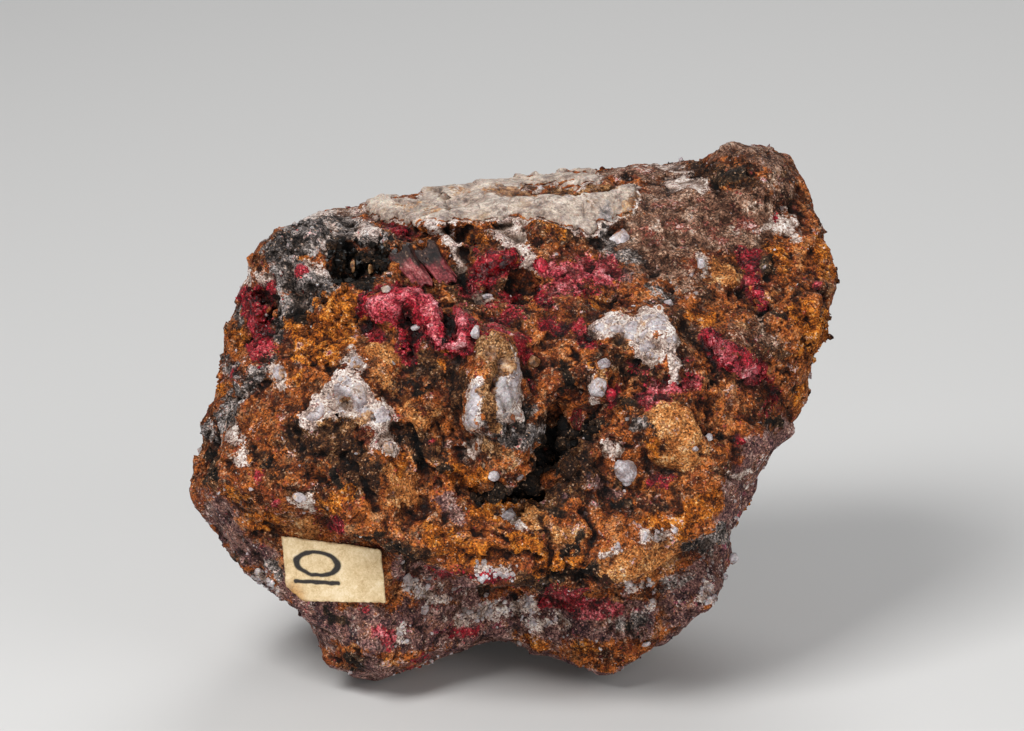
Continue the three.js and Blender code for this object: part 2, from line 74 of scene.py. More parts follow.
# Where each mineral shows on the face, and where the dark zone lays painted shade: name, path, half width,
# strength.
PATCHES = {
    "cuprite": [
        ("left flank", ((-35.7, 16), (-35.5, 13), (-35.3, 10)), 1.3, 1),
        ("foot of the flank", ((-35, 10), (-34.8, 7.5)), 1.1, 0.7),
        ("flank spot", ((-39, 4.5),), 0.5, 0.9),
        ("under the slab end", ((-18, 26), (-16.8, 24.5), (-15, 24.6)), 0.9, 0.9),
        ("in the grey mass", ((-30.4, 18.6), (-29.2, 19.2)), 0.5, 0.7),
        ("right of the tongue", ((-6.4, 23), (-5.2, 21.8)), 0.7, 0.6),
        ("deep red lens", ((-4.4, 18.6), (-2.6, 20), (-1.2, 20.6)), 1.5, 1),
        ("foot of the lens", ((-6.8, 16.4), (-5, 17.8)), 1.1, 0.7),
        ("under the blocks", ((-16.5, 16.5), (-14.5, 15.8)), 1, 0.9),
        ("curl", CURL, 1.2, 1),
        ("core of the curl", ((-15.2, 13.4), (-14.4, 11.2), (-15, 9.4), (-15, 7)), 1.2, 1),
        ("left of the curl", ((-20.4, 11), (-19, 10)), 0.9, 0.9),
        ("right of the cup", ((-4, 10.8), (-2, 12), (0, 13)), 1, 0.7),
        ("maroon lumps", ((-4, 14), (0, 15)), 1.3, 0.45),
        ("crimson crystal", ((3.4, 19.8),), 1, 1),
        ("pink grains", ((6, 18), (9, 18.6), (12.5, 19)), 1.8, 0.6),
        ("low pink grains", ((7, 16.4), (11, 17)), 1.4, 0.5),
        ("under the crimson crystal", ((3, 16), (4.6, 14.6)), 1, 0.8),
        ("left of the white patch", ((4.4, 11.6), (6.4, 11)), 1, 0.9),
        ("by the white patch", ((8.4, 11.4), (9.6, 10), (10.6, 9)), 0.9, 0.8),
        ("beside the knob", ((0.8, 9), (1.4, 7)), 0.9, 0.9),
        ("low beside the knob", ((2, 3.5),), 0.6, 0.7),
        ("pink gem", ((13.4, 1.7),), 1, 1),
        ("pocket top", ((31.4, 21.4), (33.2, 21.2), (33.8, 19.8)), 0.8, 1),
        ("pocket middle", ((32.6, 18.6), (32.4, 16.4)), 0.7, 1),
        ("pocket foot", ((33, 15.6), (34.2, 14)), 0.7, 1),
        ("by the star", ((36.2, 26.5),), 0.5, 0.8),
        ("streak", ((26.8, 9.6), (28.6, 7.8), (30.6, 6.6), (32.2, 5)), 1.1, 1),
        ("violet end of the streak", ((33, 5), (34.8, 4.4)), 0.8, 0.6),
        ("salmon patch", ((18, 1.6), (20, 2.4), (24.4, 3.4)), 1.3, 0.75),
        ("above the salmon patch", ((16.6, 5.6), (19.2, 4.8)), 0.9, 0.6),
        ("dark red by the streak", ((23.8, 7),), 0.6, 0.6),
        ("by the orange knob", ((41.7, 16.6),), 0.5, 0.7),
        ("right edge", ((36.2, 2.2), (35, 0)), 0.9, 0.5),
        ("over the cave", ((8.6, -1.6),), 0.5, 0.7),
        ("right face spot", ((31, -4.4),), 0.6, 0.8),
        ("shelf", ((18.5, -10.6), (21.2, -9.8)), 0.8, 0.6),
        ("lip", ((4.5, -26.2), (7.5, -26.8), (10.5, -27.4)), 1.2, 0.9),
        ("violet lip", ((8, -28.6), (14, -27.6)), 1, 0.5),
        ("dome", ((-33.3, -13.2),), 0.8, 0.7),
        ("dome left", ((-36, -9.4), (-35, -10.4)), 0.8, 0.5),
        ("above the slip", ((-27, -16), (-24.4, -16.6)), 1, 0.6),
        ("under the slip", ((-21.6, -27.6), (-20.8, -28.2)), 0.7, 0.6),
        ("left foot", ((-18.4, -31.4), (-17.8, -32.6)), 0.9, 0.7),
        ("middle of the lip", ((-8.6, -31.4), (-6.2, -31.2)), 0.8, 0.8),
        ("lower edge", ((-14.6, -35.2), (-12.6, -34.6)), 0.6, 0.6),
        ("in the crack", ((-11.9, -4.9),), 0.6, 0.5),
        ("band over the lip", ((-13, -22.4), (-8, -23), (-1, -23.4)), 0.7, 0.5),
    ],
    "limonite": [
        ("nest top", ((-26, 14.4), (-24, 13), (-22.4, 13.6)), 1.6, 0.9),
        ("nest", ((-30, 10.6), (-27.6, 9.6), (-25, 11)), 1.9, 1),
        ("nest foot", ((-30.4, 8), (-28, 7.2), (-26, 8)), 1.3, 1),
        ("nest right", ((-23.4, 10.4), (-22.8, 9)), 1, 0.8),
        ("under the vug", ((-24, 16.4), (-21.6, 15.2)), 0.9, 0.7),
        ("under the nest", ((-30, 4.5),), 0.8, 0.8),
        ("left edge", ((-41, 3),), 0.8, 0.8),
        ("left flank", ((-39, 10.6), (-38, 9)), 0.9, 0.8),
        ("spot in the grey mass", ((-29, 20.7),), 0.5, 0.8),
        ("under the curl", ((-10, 6),), 0.6, 0.9),
        ("under the slab", ((-6.4, 24.4), (-5, 23)), 0.9, 0.9),
        ("amber drop", ((2, 6.8), (3.2, 6.4)), 0.8, 0.7),
        ("orange dot", ((10.7, 6.3),), 0.5, 0.9),
        ("right fibres", ((36, 22.4), (37.2, 20.4)), 1.3, 0.8),
        ("right edge", ((42, 23), (42.4, 20.6)), 1, 0.7),
        ("right knob", ((43.2, 18.7),), 1, 1),
        ("right flank", ((39.6, 13), (41.6, 11.6), (40.8, 8)), 1.6, 1),
        ("right corner", ((39.6, 2.4), (39.4, 0.6)), 0.8, 0.7),
        ("left of the streak", ((25, 13), (28.4, 12)), 1.3, 0.6),
        ("above the white patch", ((10.6, 14.8), (13, 14.2)), 0.8, 0.6),
        ("dome", ((-26, -13.4), (-23.6, -12)), 1.2, 1),
        ("dome left", ((-40, -11.6), (-37.6, -12.4)), 1, 0.7),
        ("foot of the dome", ((-36.4, -15.2), (-34, -16.2)), 1.1, 0.7),
        ("dome spot", ((-37.5, -7),), 0.9, 0.6),
        ("tan lump", ((-17.4, -5.8), (-15.6, -8)), 1, 0.9),
        ("under the knob", ((-8.4, -9.2), (-5.6, -10)), 1.3, 0.9),
        ("shelf top", ((-5.6, -14.6), (-2, -13.6)), 1.3, 0.8),
        ("shelf left", ((-11, -17.6), (-8, -19.6), (-4, -20.4)), 1.9, 0.7),
        ("shelf middle", ((4, -21.6), (7.6, -21.4)), 1.6, 0.8),
        ("shelf step", ((0, -18), (2.6, -18.6)), 1.4, 0.7),
        ("shelf rim", ((27, -13), (25, -14.8), (23, -16.4)), 1.6, 1),
        ("shelf right", ((18, -15.6), (22, -16.4)), 1, 0.7),
        ("on the nodule", ((18.6, -4), (19.6, -6)), 0.7, 0.8),
        ("middle foot", ((0.6, -31.6), (3.4, -33)), 1, 0.6),
        ("right foot", ((8, -32.6), (11, -33.4)), 1.2, 0.5),
        ("left foot", ((-18, -35.4), (-12, -36)), 1, 0.5),
        ("rusty lens", ((3.6, 25), (6.4, 23.9)), 0.8, 0.6),
    ],
    "quartz": [
        ("top ridge", ((16, 34.2), (19, 34), (22.6, 33.6)), 0.6, 0.6),
        ("edge of the cap", ((27, 37.4), (31, 38), (34.6, 37.4)), 0.6, 0.55),
        ("ledge under the slab", ((-1.4, 25), (0, 23.4), (1, 21.6), (2, 20)), 1.3, 0.9),
        ("tongue by the blocks", ((-11.6, 25), (-8.8, 22.6), (-7.6, 19.6)), 0.7, 0.8),
        ("slope spot", ((26, 21), (26.2, 19.2)), 0.6, 0.9),
        ("star", ((36, 25.4), (38, 26), (38.6, 24)), 1, 0.9),
        ("ridge behind the slab", ((22, 31.4), (25.6, 31)), 1.1, 0.8),
        ("orange drop", ((11.4, 3.6), (11, 1.6)), 0.9, 0.8),
        ("rim of the dome", ((-33.6, 5.6), (-32.8, 4)), 0.9, 0.9),
        ("beige lump", ((-23, 6.8), (-21.6, 6.4)), 1, 0.85),
        ("left shoulder", ((-37, 18.6), (-35.6, 17.4)), 1.2, 0.6),
        ("chips under the lens", ((-5.4, 15.6), (-3.2, 15.8)), 0.6, 0.7),
        ("ridge left of the vug", ((-26, 25), (-25.6, 22.4)), 0.8, 0.7),
        # Along the top left edge the pale quartz colour is partly a painted highlight on the edge.
        ("top left edge", ((-29, 26), (-24, 27.4), (-22, 26.6)), 0.8, 0.55),
        ("ridge right of the vug", ((-21.4, 24.6), (-19.4, 23.2)), 0.9, 0.7),
        ("pale spot in the grey mass", ((-28.4, 19.4), (-26, 18.4)), 0.8, 0.6),
        ("dome left", ((-39.6, -3.6), (-38, -5.4), (-38.6, -7.6)), 1, 0.7),
        ("dome", ((-31, -12.4), (-29, -13.4)), 0.8, 0.9),
        ("tan lump top", ((-18.4, -4.4), (-17, -5.8)), 1.1, 0.95),
        ("lobe under the knob", ((-5.4, -4.6), (-6, -6.6)), 0.8, 0.8),
        ("over the lip", ((-5, -22.8), (-1.4, -22.8)), 0.6, 0.9),
        ("shelf top", ((-1, -14.6), (0.6, -16)), 0.9, 0.65),
        ("lip by the slip", ((-15.4, -24.8), (-13, -25.4)), 0.7, 0.7),
        ("lip smear", ((-6, -28.6), (-2, -27.8)), 0.9, 0.9),
        ("foot fleck", ((-16, -30.4),), 0.7, 0.8),
        ("lower fleck", ((-16, -32.5),), 0.7, 0.9),
        ("lip middle", ((-12, -27), (-10, -26.4)), 0.7, 0.7),
        ("left of the slip", ((-35.6, -23.4), (-33.8, -24.2)), 0.7, 0.7),
        ("low on the lip", ((-7.7, -29.9),), 0.6, 0.6),
        ("above the bead", ((12.6, -5.6), (14, -6.2)), 0.8, 0.9),
        ("right face", ((30.4, -9.6), (31.8, -8.6)), 0.6, 0.7),
        ("stripe on the shelf", ((17.6, -18), (21.6, -17.2)), 0.5, 0.65),
        ("lumps on the shelf", ((12, -20.6), (14, -19.8)), 0.5, 0.65),
        ("right stripe", ((26.6, -25), (26, -27)), 0.6, 0.9),
        ("lip fleck", ((18.8, -26.6), (18.2, -27.8)), 0.6, 0.9),
        ("right band", ((15.6, -25), (19, -24.4)), 0.5, 0.6),
        ("middle fleck", ((1.6, -29.8), (4, -30.2)), 0.8, 0.85),
        ("upper fleck", ((0, -27.6), (2.4, -27.4)), 0.8, 0.85),
    ],
    "velvet": [
        ("curled ridge", CURL[2:], 0.65, 1),
        ("salmon end of the curl", ((-19.8, 14.2), (-16.4, 14.2)), 1, 0.9),
        ("foot of the lens", ((-7.2, 15.6), (-5.6, 17)), 0.8, 0.35),
        ("streak", ((27.4, 8.8), (29.6, 7), (32.4, 5)), 0.9, 0.7),
        ("pink grains", ((6, 18), (9, 18.6), (12.5, 19)), 1.9, 0.95),
        ("salmon patch", ((18, 1.6), (20, 2.4), (24.4, 3.4)), 1, 0.6),
        ("lip", ((5, -26.4), (10, -27.4)), 0.8, 0.55),
        ("violet lip", ((8, -28.6), (14, -27.8)), 0.9, 0.5),
        ("left foot", ((-18.6, -31), (-17.6, -32.6)), 0.9, 0.6),
        ("foot of the flank", ((-35, 9), (-34.8, 7)), 0.9, 0.5),
    ],
    "stain": [
        ("top of the knob", ((-4.4, 8.8), (-2.2, 8), (-2.8, 5.8)), 1.5, 1),
        ("furrow of the knob", ((-3.2, 4.4), (-3.8, 0.6), (-3.4, -2.4)), 0.9, 0.95),
        ("foot of the knob", ((-4.6, -5), (-1, -7.6)), 1.2, 0.6),
        ("left patch foot", ((-27, -2.2), (-23, -2.6), (-20, -1)), 0.8, 0.6),
        ("left patch middle", ((-24.2, 1.4), (-22.6, 0.2)), 0.7, 0.55),
        ("right patch hole", ((14.6, 9.2),), 0.9, 0.9),
        ("right patch top", ((15.2, 13.2), (18, 12.6)), 0.7, 0.5),
        ("right patch foot", ((19.2, 6.8), (20.4, 5)), 0.8, 0.5),
        ("slab left", ((-16.6, 27.6), (-11.4, 26.6)), 0.7, 0.4),
        ("slab back", ((-9, 29.2), (-4, 29.6), (0, 30)), 0.6, 0.45),
        ("slab fold", ((-1.6, 29.8), (4, 29.9), (9, 30.2), (14, 30.4)), 0.5, 0.8),
        ("slab end", ((15.4, 27.4), (16.6, 29.2)), 0.8, 0.6),
        ("slab corner", ((9.6, 28.6), (11, 27)), 0.5, 0.5),
    ],
    # The dark zone is mostly painted shade: near black laid in the vug, the cave, crevices and pits, under
    # the shelf and the cap and beside the slip, where shadow falls; in the vug it also stands for black
    # goethite.
    "dark": [
        ("vug left", ((-25, 22), (-24.4, 19)), 1.3, 1),
        ("vug", ((-24, 21.4), (-20.5, 19.6), (-18, 21)), 1.4, 1),
        ("vug foot", ((-22.4, 18), (-20.6, 17.2)), 0.9, 0.7),
        ("cave", ((6.4, -3.4), (5.4, -6.4), (3.6, -8.4)), 1.5, 1),
        ("cave foot", ((3, -10), (1.4, -11.6), (-1.6, -11.8), (-4.6, -12.4)), 0.9, 1),
        ("over the cave", ((4, -4.6), (8, -3), (11.6, -1.6)), 1, 0.9),
        ("shelf pit", ((4.4, -13.8), (6.4, -14.6)), 0.7, 0.7),
        ("shelf crack", ((9.4, -17), (8.4, -19), (6.6, -20)), 0.5, 0.7),
        ("pit right of the shelf", ((14, -13.6), (16, -13)), 0.5, 0.7),
        ("under the shelf", ((3.6, -24.4), (8, -23.2), (11, -21.8)), 0.6, 0.7),
        ("pit by the nodule", ((28.7, -4),), 0.5, 0.9),
        ("pit at the right corner", ((35, -1.8), (36.6, -2.2)), 0.5, 0.9),
        ("hole by the drop", ((6, 6), (7.4, 4), (6.6, 2.6)), 0.9, 0.8),
        ("under the gem", ((14.2, 1.4), (16, 0.6)), 0.8, 0.6),
        ("hollow under the cap", ((28.4, 31.6), (30, 32.4), (32, 33.6)), 1.1, 0.8),
        ("beside the right pocket", ((34.6, 21), (35, 18.4)), 0.8, 0.8),
        ("line by the pocket", ((34.6, 13.2), (36.6, 13)), 0.4, 0.7),
        ("under the curl", ((-15, 3.4), (-13.6, 2.4)), 0.9, 0.7),
        ("gap over the nest", ((-30.6, 12.8), (-29.4, 12)), 0.8, 0.8),
        ("end of the slab", ((-18.7, 26.1),), 0.6, 0.6),
        ("dome pit", ((-25.2, -8.8), (-24.6, -10.4)), 0.7, 0.9),
        ("lower dome pit", ((-22, -12.3),), 0.6, 0.7),
        ("dome crevice", ((-34.2, -6.6), (-34.8, -8.4)), 0.5, 0.7),
        ("crack right of the dome", ((-14.8, -4), (-13.4, -6), (-12.9, -8.4)), 0.6, 0.7),
        ("crack under the knob", ((-11.4, -8.6), (-9.6, -8.6)), 0.6, 0.7),
        ("over the slip", ((-22, -18), (-18.6, -18)), 0.7, 0.7),
        ("right of the slip", ((-18, -18.8), (-15, -20.4), (-14.8, -22)), 1, 0.6),
        ("hole over the lip", ((-5, -25), (-2.6, -25.2)), 0.8, 0.6),
        ("left foot side", ((-26, -28.6), (-24.6, -29.6)), 1.1, 0.6),
        ("left foot", ((-23.4, -33.8), (-22, -35.6)), 1.2, 0.7),
        ("left edge", ((-42.6, -6.6), (-42.4, -9.6)), 1, 0.7),
        ("lower left edge", ((-38.6, -20.6), (-37, -22.6)), 0.8, 0.6),
    ],
    "grey": [
        ("mass over the vug", ((-32, 22), (-29, 24), (-26.6, 25)), 2.4, 1),
        ("mass left of the vug", ((-32, 18.6), (-29, 17.6), (-27, 16)), 2.2, 1),
        ("above the nest", ((-32.6, 14.6), (-30.4, 13.6), (-28.6, 15)), 1.5, 0.9),
        ("vug roof", ((-23.6, 25.4), (-21.6, 24), (-19.6, 22.6)), 1.7, 0.9),
        ("beside the flank", ((-33.4, 12), (-33.2, 9.6)), 0.9, 0.8),
        ("outer flank", ((-39, 14), (-38.6, 11.6)), 0.9, 0.7),
        ("lower flank", ((-40, 7), (-39, 5)), 1, 0.7),
        ("dome rim", ((-33.8, 6.8), (-37, 3.6), (-39.6, 0), (-42, -4)), 1.4, 0.7),
        ("knob foot", ((-1.4, -2.6), (0.4, -1), (1.4, -3.6)), 2, 1),
        ("left of the knob foot", ((-4, -3.4), (-1.4, -5)), 1.4, 0.6),
        ("nodule stripes", ((16.4, -2.6), (18, -1.6), (20, -0.8)), 0.8, 0.9),
        ("wedge right of the slab", ((12.4, 27), (12.2, 24.6), (13.4, 23)), 1, 0.8),
        ("under the wedge", ((13, 21.6), (16.6, 21)), 1.5, 0.7),
        ("right lip", ((23, -18.6), (26, -19.6), (28.6, -17)), 1.3, 0.7),
        ("low on the right", ((20, -24.6), (24, -23.6)), 1.3, 0.5),
        ("under the right foot", ((14.6, -30), (18, -29.6)), 1.2, 0.6),
        ("left of the slip", ((-34.6, -21.4), (-33, -23)), 1, 0.7),
        ("olive lumps", ((18.4, 16.4), (22, 16)), 1, 0.6),
    ],
    "clay": [
        ("lip", ((-30, -24.6), (-26, -30), (-20, -31), (-12, -30.4), (-5, -30), (2, -29.4), (10, -30),
                 (17, -29)), 2.9, 0.85),
        ("right of the slip", ((-15.6, -22.6), (-11, -24.6), (-7, -25.6)), 1.8, 0.9),
        ("right face", ((34.6, -6.4), (31.4, -12), (30.6, -17), (28, -23), (22, -27.6)), 2.6, 0.9),
        ("right corner", ((38, -3), (36, -5)), 1.5, 0.8),
        ("lower left side", ((-41.6, -14), (-38.6, -18.6), (-35.6, -20.6)), 2, 0.8),
        ("left edge", ((-43, -12),), 1.2, 0.5),
        ("mauve lump", ((-9.8, -13.4), (-8, -14.8)), 1.2, 0.8),
        ("lumps over the shelf", ((11, -11), (13.6, -12)), 1.2, 0.6),
        ("violet lump", ((6.8, -12.6),), 0.7, 0.6),
        ("under the slope", ((12, 20), (15.6, 18.4)), 1.3, 0.5),
        ("left of the knob foot", ((-4.6, -4.6), (-3, -6.4)), 1.2, 0.5),
    ],
    "umber": [
        ("right of the blocks", ((-8.6, 18), (-7, 15)), 1.4, 0.9),
        ("under the curl", ((-14.5, 6.5), (-11, 5)), 1.6, 0.8),
        ("left of the knob", ((-8.5, 4.5), (-8, 0.5)), 1.3, 0.8),
        ("dome middle", ((-29.5, -4), (-24, -5), (-21.5, -9.5)), 2.6, 1),
        ("dome left", ((-36.5, -5.5), (-33, -9)), 1.3, 0.6),
        ("right of the dome", ((-15, -3.5), (-11.5, -6)), 1.8, 0.9),
        # Round the cave and to its right the dark brown is limonite colour and also painted shade at the
        # cave's mouth.
        ("round the cave", ((4.5, -3), (8.5, -5), (8, -11), (3, -13)), 2, 0.9),
        ("right of the cave", ((10.5, -8), (12, -12)), 1.6, 0.7),
        ("above the knob", ((-2, 17), (1, 13.5)), 1.4, 0.7),
        ("nest pits", ((-28.5, 12), (-26, 6)), 0.8, 0.7),
        ("brown nodules", ((22.5, 12), (24.5, 9.5)), 1.4, 0.8),
        ("under the right patch", ((14, 6.5), (18.5, 5.2)), 1.3, 0.9),
        ("above the lip", ((-1, -23.5), (6, -24), (11, -22.5)), 1.2, 0.7),
        ("right of the slip", ((-17, -19), (-13, -21)), 1.4, 0.7),
        ("under the cap", ((25, 33), (34, 31)), 1.6, 0.7),
        ("top right", ((33, 12.5), (36, 8)), 1.8, 0.5),
        ("rusty lens", RUSTY_LENS, 1.1, 0.65),
        ("slope stain", ((24, 29.4), (28.6, 27.6)), 1.4, 0.5),
        ("right lip", ((23, -18.5), (28, -24)), 1.5, 0.4),
    ],
    "slope": [
        ("upper right slope", ((16, 24), (21, 24.6), (27, 24.6), (33, 25.4)), 3.2, 0.9),
        ("top of the slope", ((17.6, 28.4), (22, 28.8), (29, 28), (34, 28.6)), 1.9, 0.85),
        ("foot of the slope", ((17, 20), (22, 19), (25, 17.6)), 2.2, 0.6),
        ("under the pocket", ((26, 11), (31, 11), (35, 10)), 2.4, 0.4),
        ("left top edge", ((-28.6, 26.4), (-23, 28)), 0.9, 0.7),
        ("ridge over the slab", ((4, 33), (14, 33.6), (22, 33.4)), 1.5, 0.9),
        ("cap", ((28, 36.4), (33, 36), (36, 33), (37, 30)), 2, 0.6),
    ],
    "tan": [
        ("nodule", ((21, -1), (23, -3), (24, -5.6)), 2.2, 1),
        ("foot of the nodule", ((19.6, -6.8), (22.6, -8)), 1.4, 0.7),
        ("tan lump", ((-16.6, -8.6), (-15, -11.4)), 1.8, 0.9),
        ("under the shelf", ((13, -21.8), (18, -21.6), (21.6, -20)), 1.7, 0.85),
        ("tongue under the curl", ((-20, 8.6), (-17, 7.4)), 0.9, 0.95),
        ("shelf top", ((0, -14.2), (3, -15.2)), 1.3, 0.7),
        ("shelf", ((5, -17.4), (8, -18)), 1.4, 0.7),
        ("slope lump", ((27.6, 19.2), (30, 18.4)), 1.4, 0.8),
        ("orange drop", ((12, 5.6), (12.2, 3.6)), 1, 0.6),
        ("left brown lump", ((-19.6, 4.6), (-17, 3.2)), 1.5, 0.5),
        ("foot of the dome", ((-32, -16.2), (-27.6, -16.8)), 0.9, 0.7),
        ("brown lump", ((-15.4, 0), (-12.6, -1.8)), 1.6, 0.6),
    ],
    "worn": [
        ("right shelf", ((9, -16), (15, -15.4), (21, -12), (27, -8.6)), 2.8, 0.9),
        ("front of the shelf", ((12, -19.6), (18, -18.6), (24, -15.4)), 2.6, 0.95),
        ("under the shelf", ((14, -22.4), (20, -21.6), (25, -19)), 1.8, 0.9),
        ("right face", ((34, -6), (31, -12), (30, -17), (27, -23), (20, -27)), 2.6, 0.8),
        ("left shelf", ((-10, -17), (-4, -19.6)), 2.2, 0.5),
        ("right slope", ((22, 12), (30, 11.6), (35, 9)), 3, 0.5),
        ("tan lump", ((-17, -7), (-14.6, -10.6)), 1.8, 0.6),
        ("rusty lens", RUSTY_LENS, 1.2, 1),
        ("brown nodules", ((22, 14), (24.5, 10)), 1.6, 0.6),
    ],
}

# Where each seated piece breaks the surface: strokes as above.
SHOWING = {
    "quartz_slab": [
        ("plate", ((-19.4, 27.8), (-14, 27.2), (-8, 27.6), (-2, 28), (2, 27.8), (8, 27.2), (12, 28),
                   (15.6, 29)), 1.35, 1),
        ("broken front", ((8.4, 25.4), (10.8, 25.2)), 0.9, 1),
        ("back of the left end", ((-12, 29.6), (-6, 30.4), (0, 31.4)), 1.2, 1),
        ("layer behind", ((2.6, 31.5), (7, 31.7), (11.4, 31.5)), 0.6, 1),
    ],
    "quartz_knob": [
        ("crest", ((-3, 7.8), (-1.4, 5), (-1, 0.5), (-0.6, -1.5)), 1.4, 1),
        ("left lobe", ((-5, 2.8), (-5.8, -1.8)), 0.9, 1),
    ],
    "quartz_patch_left": [
        ("left limb", ((-23.6, 4.4), (-25.6, 1.4), (-28.6, -1.4)), 1, 1),
        ("right limb", ((-23.2, 3.6), (-21, 0.4), (-18.4, -1.4)), 1.3, 1),
        ("foot", ((-26.5, -0.6), (-19, -0.6)), 1, 1),
    ],
    "quartz_patch_right": [
        ("left arm", ((11.4, 11), (16, 11.6), (19.6, 12.8)), 1.1, 1),
        ("middle", ((16.4, 11), (18.2, 7.8)), 1.4, 1),
        ("right arm", ((20.4, 12), (21.8, 7), (21.8, 4.8)), 0.8, 1),
    ],
    "cuprite_curl": [
        ("curl", CURL[:-1], 1.2, 1),
        ("core", ((-15.2, 13.4), (-14.4, 11.2), (-15, 8.6)), 1.1, 1),
        ("salmon end", ((-19.8, 13.4), (-17, 12.6)), 1, 1),
    ],
    "cuprite_ruby": [("lens", ((-4.6, 18.4), (-2.6, 20), (-1.2, 20.6)), 1.2, 1)],
    "cuprite_streak": [("streak", ((26.8, 9.4), (28.6, 7.8), (30.6, 6.6), (32.8, 5)), 1.2, 1)],
    "cuprite_pocket": [
        ("top", ((31.2, 20.8), (32.8, 20.2)), 0.8, 1),
        ("foot", ((32.2, 18), (32.8, 16.2), (34.4, 14.2)), 0.6, 1),
    ],
    "cuprite_flank": [("flank", ((-37, 15.9), (-35.6, 11), (-35.6, 8)), 1.2, 1)],
}

# Forms too fine for the solids: name, path across and up the face, half width, rise.
FINE_FORMS = (
    ("curled ridge", CURL[2:], 0.65, 0.8),
    ("hollow in the curl", ((-15.2, 13.4), (-14.2, 10.5), (-14.6, 8)), 1.1, -0.9),
    ("hollow in the cup", ((-9.2, 12.4), (-9, 10.4)), 0.8, -0.9),
    ("rusty lens", RUSTY_LENS, 1, 0.8),
    ("ruby lens", ((-5.4, 17.6), (-3.4, 19.2), (-1.6, 20.4)), 1.5, 0.7),
    ("gap right of the blocks", ((-7.8, 21.4), (-7, 17)), 0.8, -0.9),
    ("tongue by the blocks", ((-11.6, 25), (-8.8, 22.6), (-7.6, 19.6)), 0.7, 0.6),
    ("furrow down the knob", ((-2.2, 6.2), (-2.9, 2.5), (-1.4, -0.5)), 0.7, -0.7),
    ("left lobe of the knob", ((-4.3, 4.4), (-6.2, -1.2)), 1.3, 0.7),
    ("crest of the knob", ((-3.2, 9), (-1.2, 7.4), (-0.4, 3.6)), 1.1, 0.8),
    ("rim of the nodule", ((16.6, 0.6), (20, 1.8), (24.4, 0.6), (26.5, -3.4)), 0.6, -0.6),
    ("crease under the nodule", ((16.8, -4), (18.6, -8.4), (23.4, -9.4)), 0.7, -0.7),
    ("white nodule", ((15, -8.2), (15.4, -9.4)), 1.2, 0.9),
    ("orange drop", ((11.2, 5.4), (11.6, 2.2)), 1.2, 0.8),
    ("shelf crack", ((3.2, -15), (4.6, -18.4), (4.4, -22)), 0.5, -0.8),
    ("shelf step", ((9.4, -14), (11.2, -17.6), (9.2, -21.6)), 0.6, -0.8),
    ("shelf crease", ((-12, -18.5), (-7, -17), (-2, -17.6)), 0.6, -0.7),
    ("dome crack", ((-24, -7), (-21, -10), (-19.5, -14)), 0.6, -0.8),
    ("dome pit", ((-27.5, -10), (-26.5, -10.8)), 0.9, -1.2),
    ("slab step", ((-2.2, 29.4), (4, 29.3), (11.6, 30.2)), 0.5, -0.7),
    ("slab crack", ((-10.4, 29.6), (-9.2, 26.6)), 0.35, -0.4),
    ("foot of the rusty lens", ((2.8, 24.6), (6, 24), (9, 22.8)), 1.3, 0.5),
    ("hollow under the slab", ((-8, 24), (-3.5, 23.2)), 0.9, -1.0),
    ("grey lump beside the vug", ((-31, 20.6), (-29.4, 18)), 1.5, 0.9),
    ("grey lump over the vug", ((-28.6, 24.4), (-26.4, 25.6)), 1.6, 0.8),
    ("rim right of the vug", ((-20.8, 24.8), (-17.6, 22.5)), 0.9, 0.8),
    ("groove beside the flank", ((-34.2, 18.6), (-33.2, 12)), 0.8, -1.0),
    ("crevice of the dome", ((-15, -3), (-13.4, -6), (-12.7, -9)), 0.6, -1),
    ("filled foot of the crevice", ((-12.2, -12.2),), 1, 1.3),
    ("hollow right of the dome", ((-13, 2.6), (-11.6, 3.4)), 1, -0.9),
    ("swell of the nodule", ((19.6, -2.6), (23, -5.2)), 2.3, 0.8),
    ("pit beside the nodule", ((11.8, -7), (12.6, -11.4)), 1.1, -1.2),
    ("undercut of the shelf", ((3.4, -23.2), (10.2, -24.3)), 0.6, -1.1),
    ("bead on the right patch", ((18.2, 7.8),), 0.9, 0.6),
    ("hole in the right patch", ((14.6, 9.2),), 0.7, -0.9),
)


def pick(*pieces):
    """Selects these pieces alone, with the last one active."""
    bpy.ops.object.select_all(action="DESELECT")
    for piece in pieces:
        piece.select_set(True)
    bpy.context.view_layer.objects.active = pieces[-1]


def copy_of(node, name):
    """A new object with its own copy of a node's mesh, its loose triangles merged."""
    copy = bpy.data.objects.new(name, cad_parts[node].data.copy())
    bpy.context.scene.collection.objects.link(copy)
    copy.data.materials.clear()
    pick(copy)
    bpy.ops.object.mode_set(mode="EDIT")
    bpy.ops.mesh.select_all(action="SELECT")
    bpy.ops.mesh.remove_doubles(threshold=MERGE_REACH * MM)
    bpy.ops.object.mode_set(mode="OBJECT")
    return copy


def points_of(piece):
    """The piece's vertices, in millimetres."""
    flat = np.empty(len(piece.data.vertices) * 3)
    piece.data.vertices.foreach_get("co", flat)
    return flat.reshape(-1, 3) / MM


def normals_of(piece):
    """The outward direction at each of the piece's vertices."""
    flat = np.empty(len(piece.data.vertices) * 3, np.float32)
    piece.data.vertex_normals.foreach_get("vector", flat)
    return flat.reshape(-1, 3).astype(float)


def move_points(piece, points):
    """Puts the piece's vertices at these places, in millimetres."""
    piece.data.vertices.foreach_set("co", (points * MM).ravel())
    piece.data.update()


def ease(low, high, value):
    """Rises smoothly from 0 at low to 1 at high, or falls where low is the greater."""
    share = np.clip((value - low) / (high - low), 0, 1)
    return share * share * (3 - 2 * share)


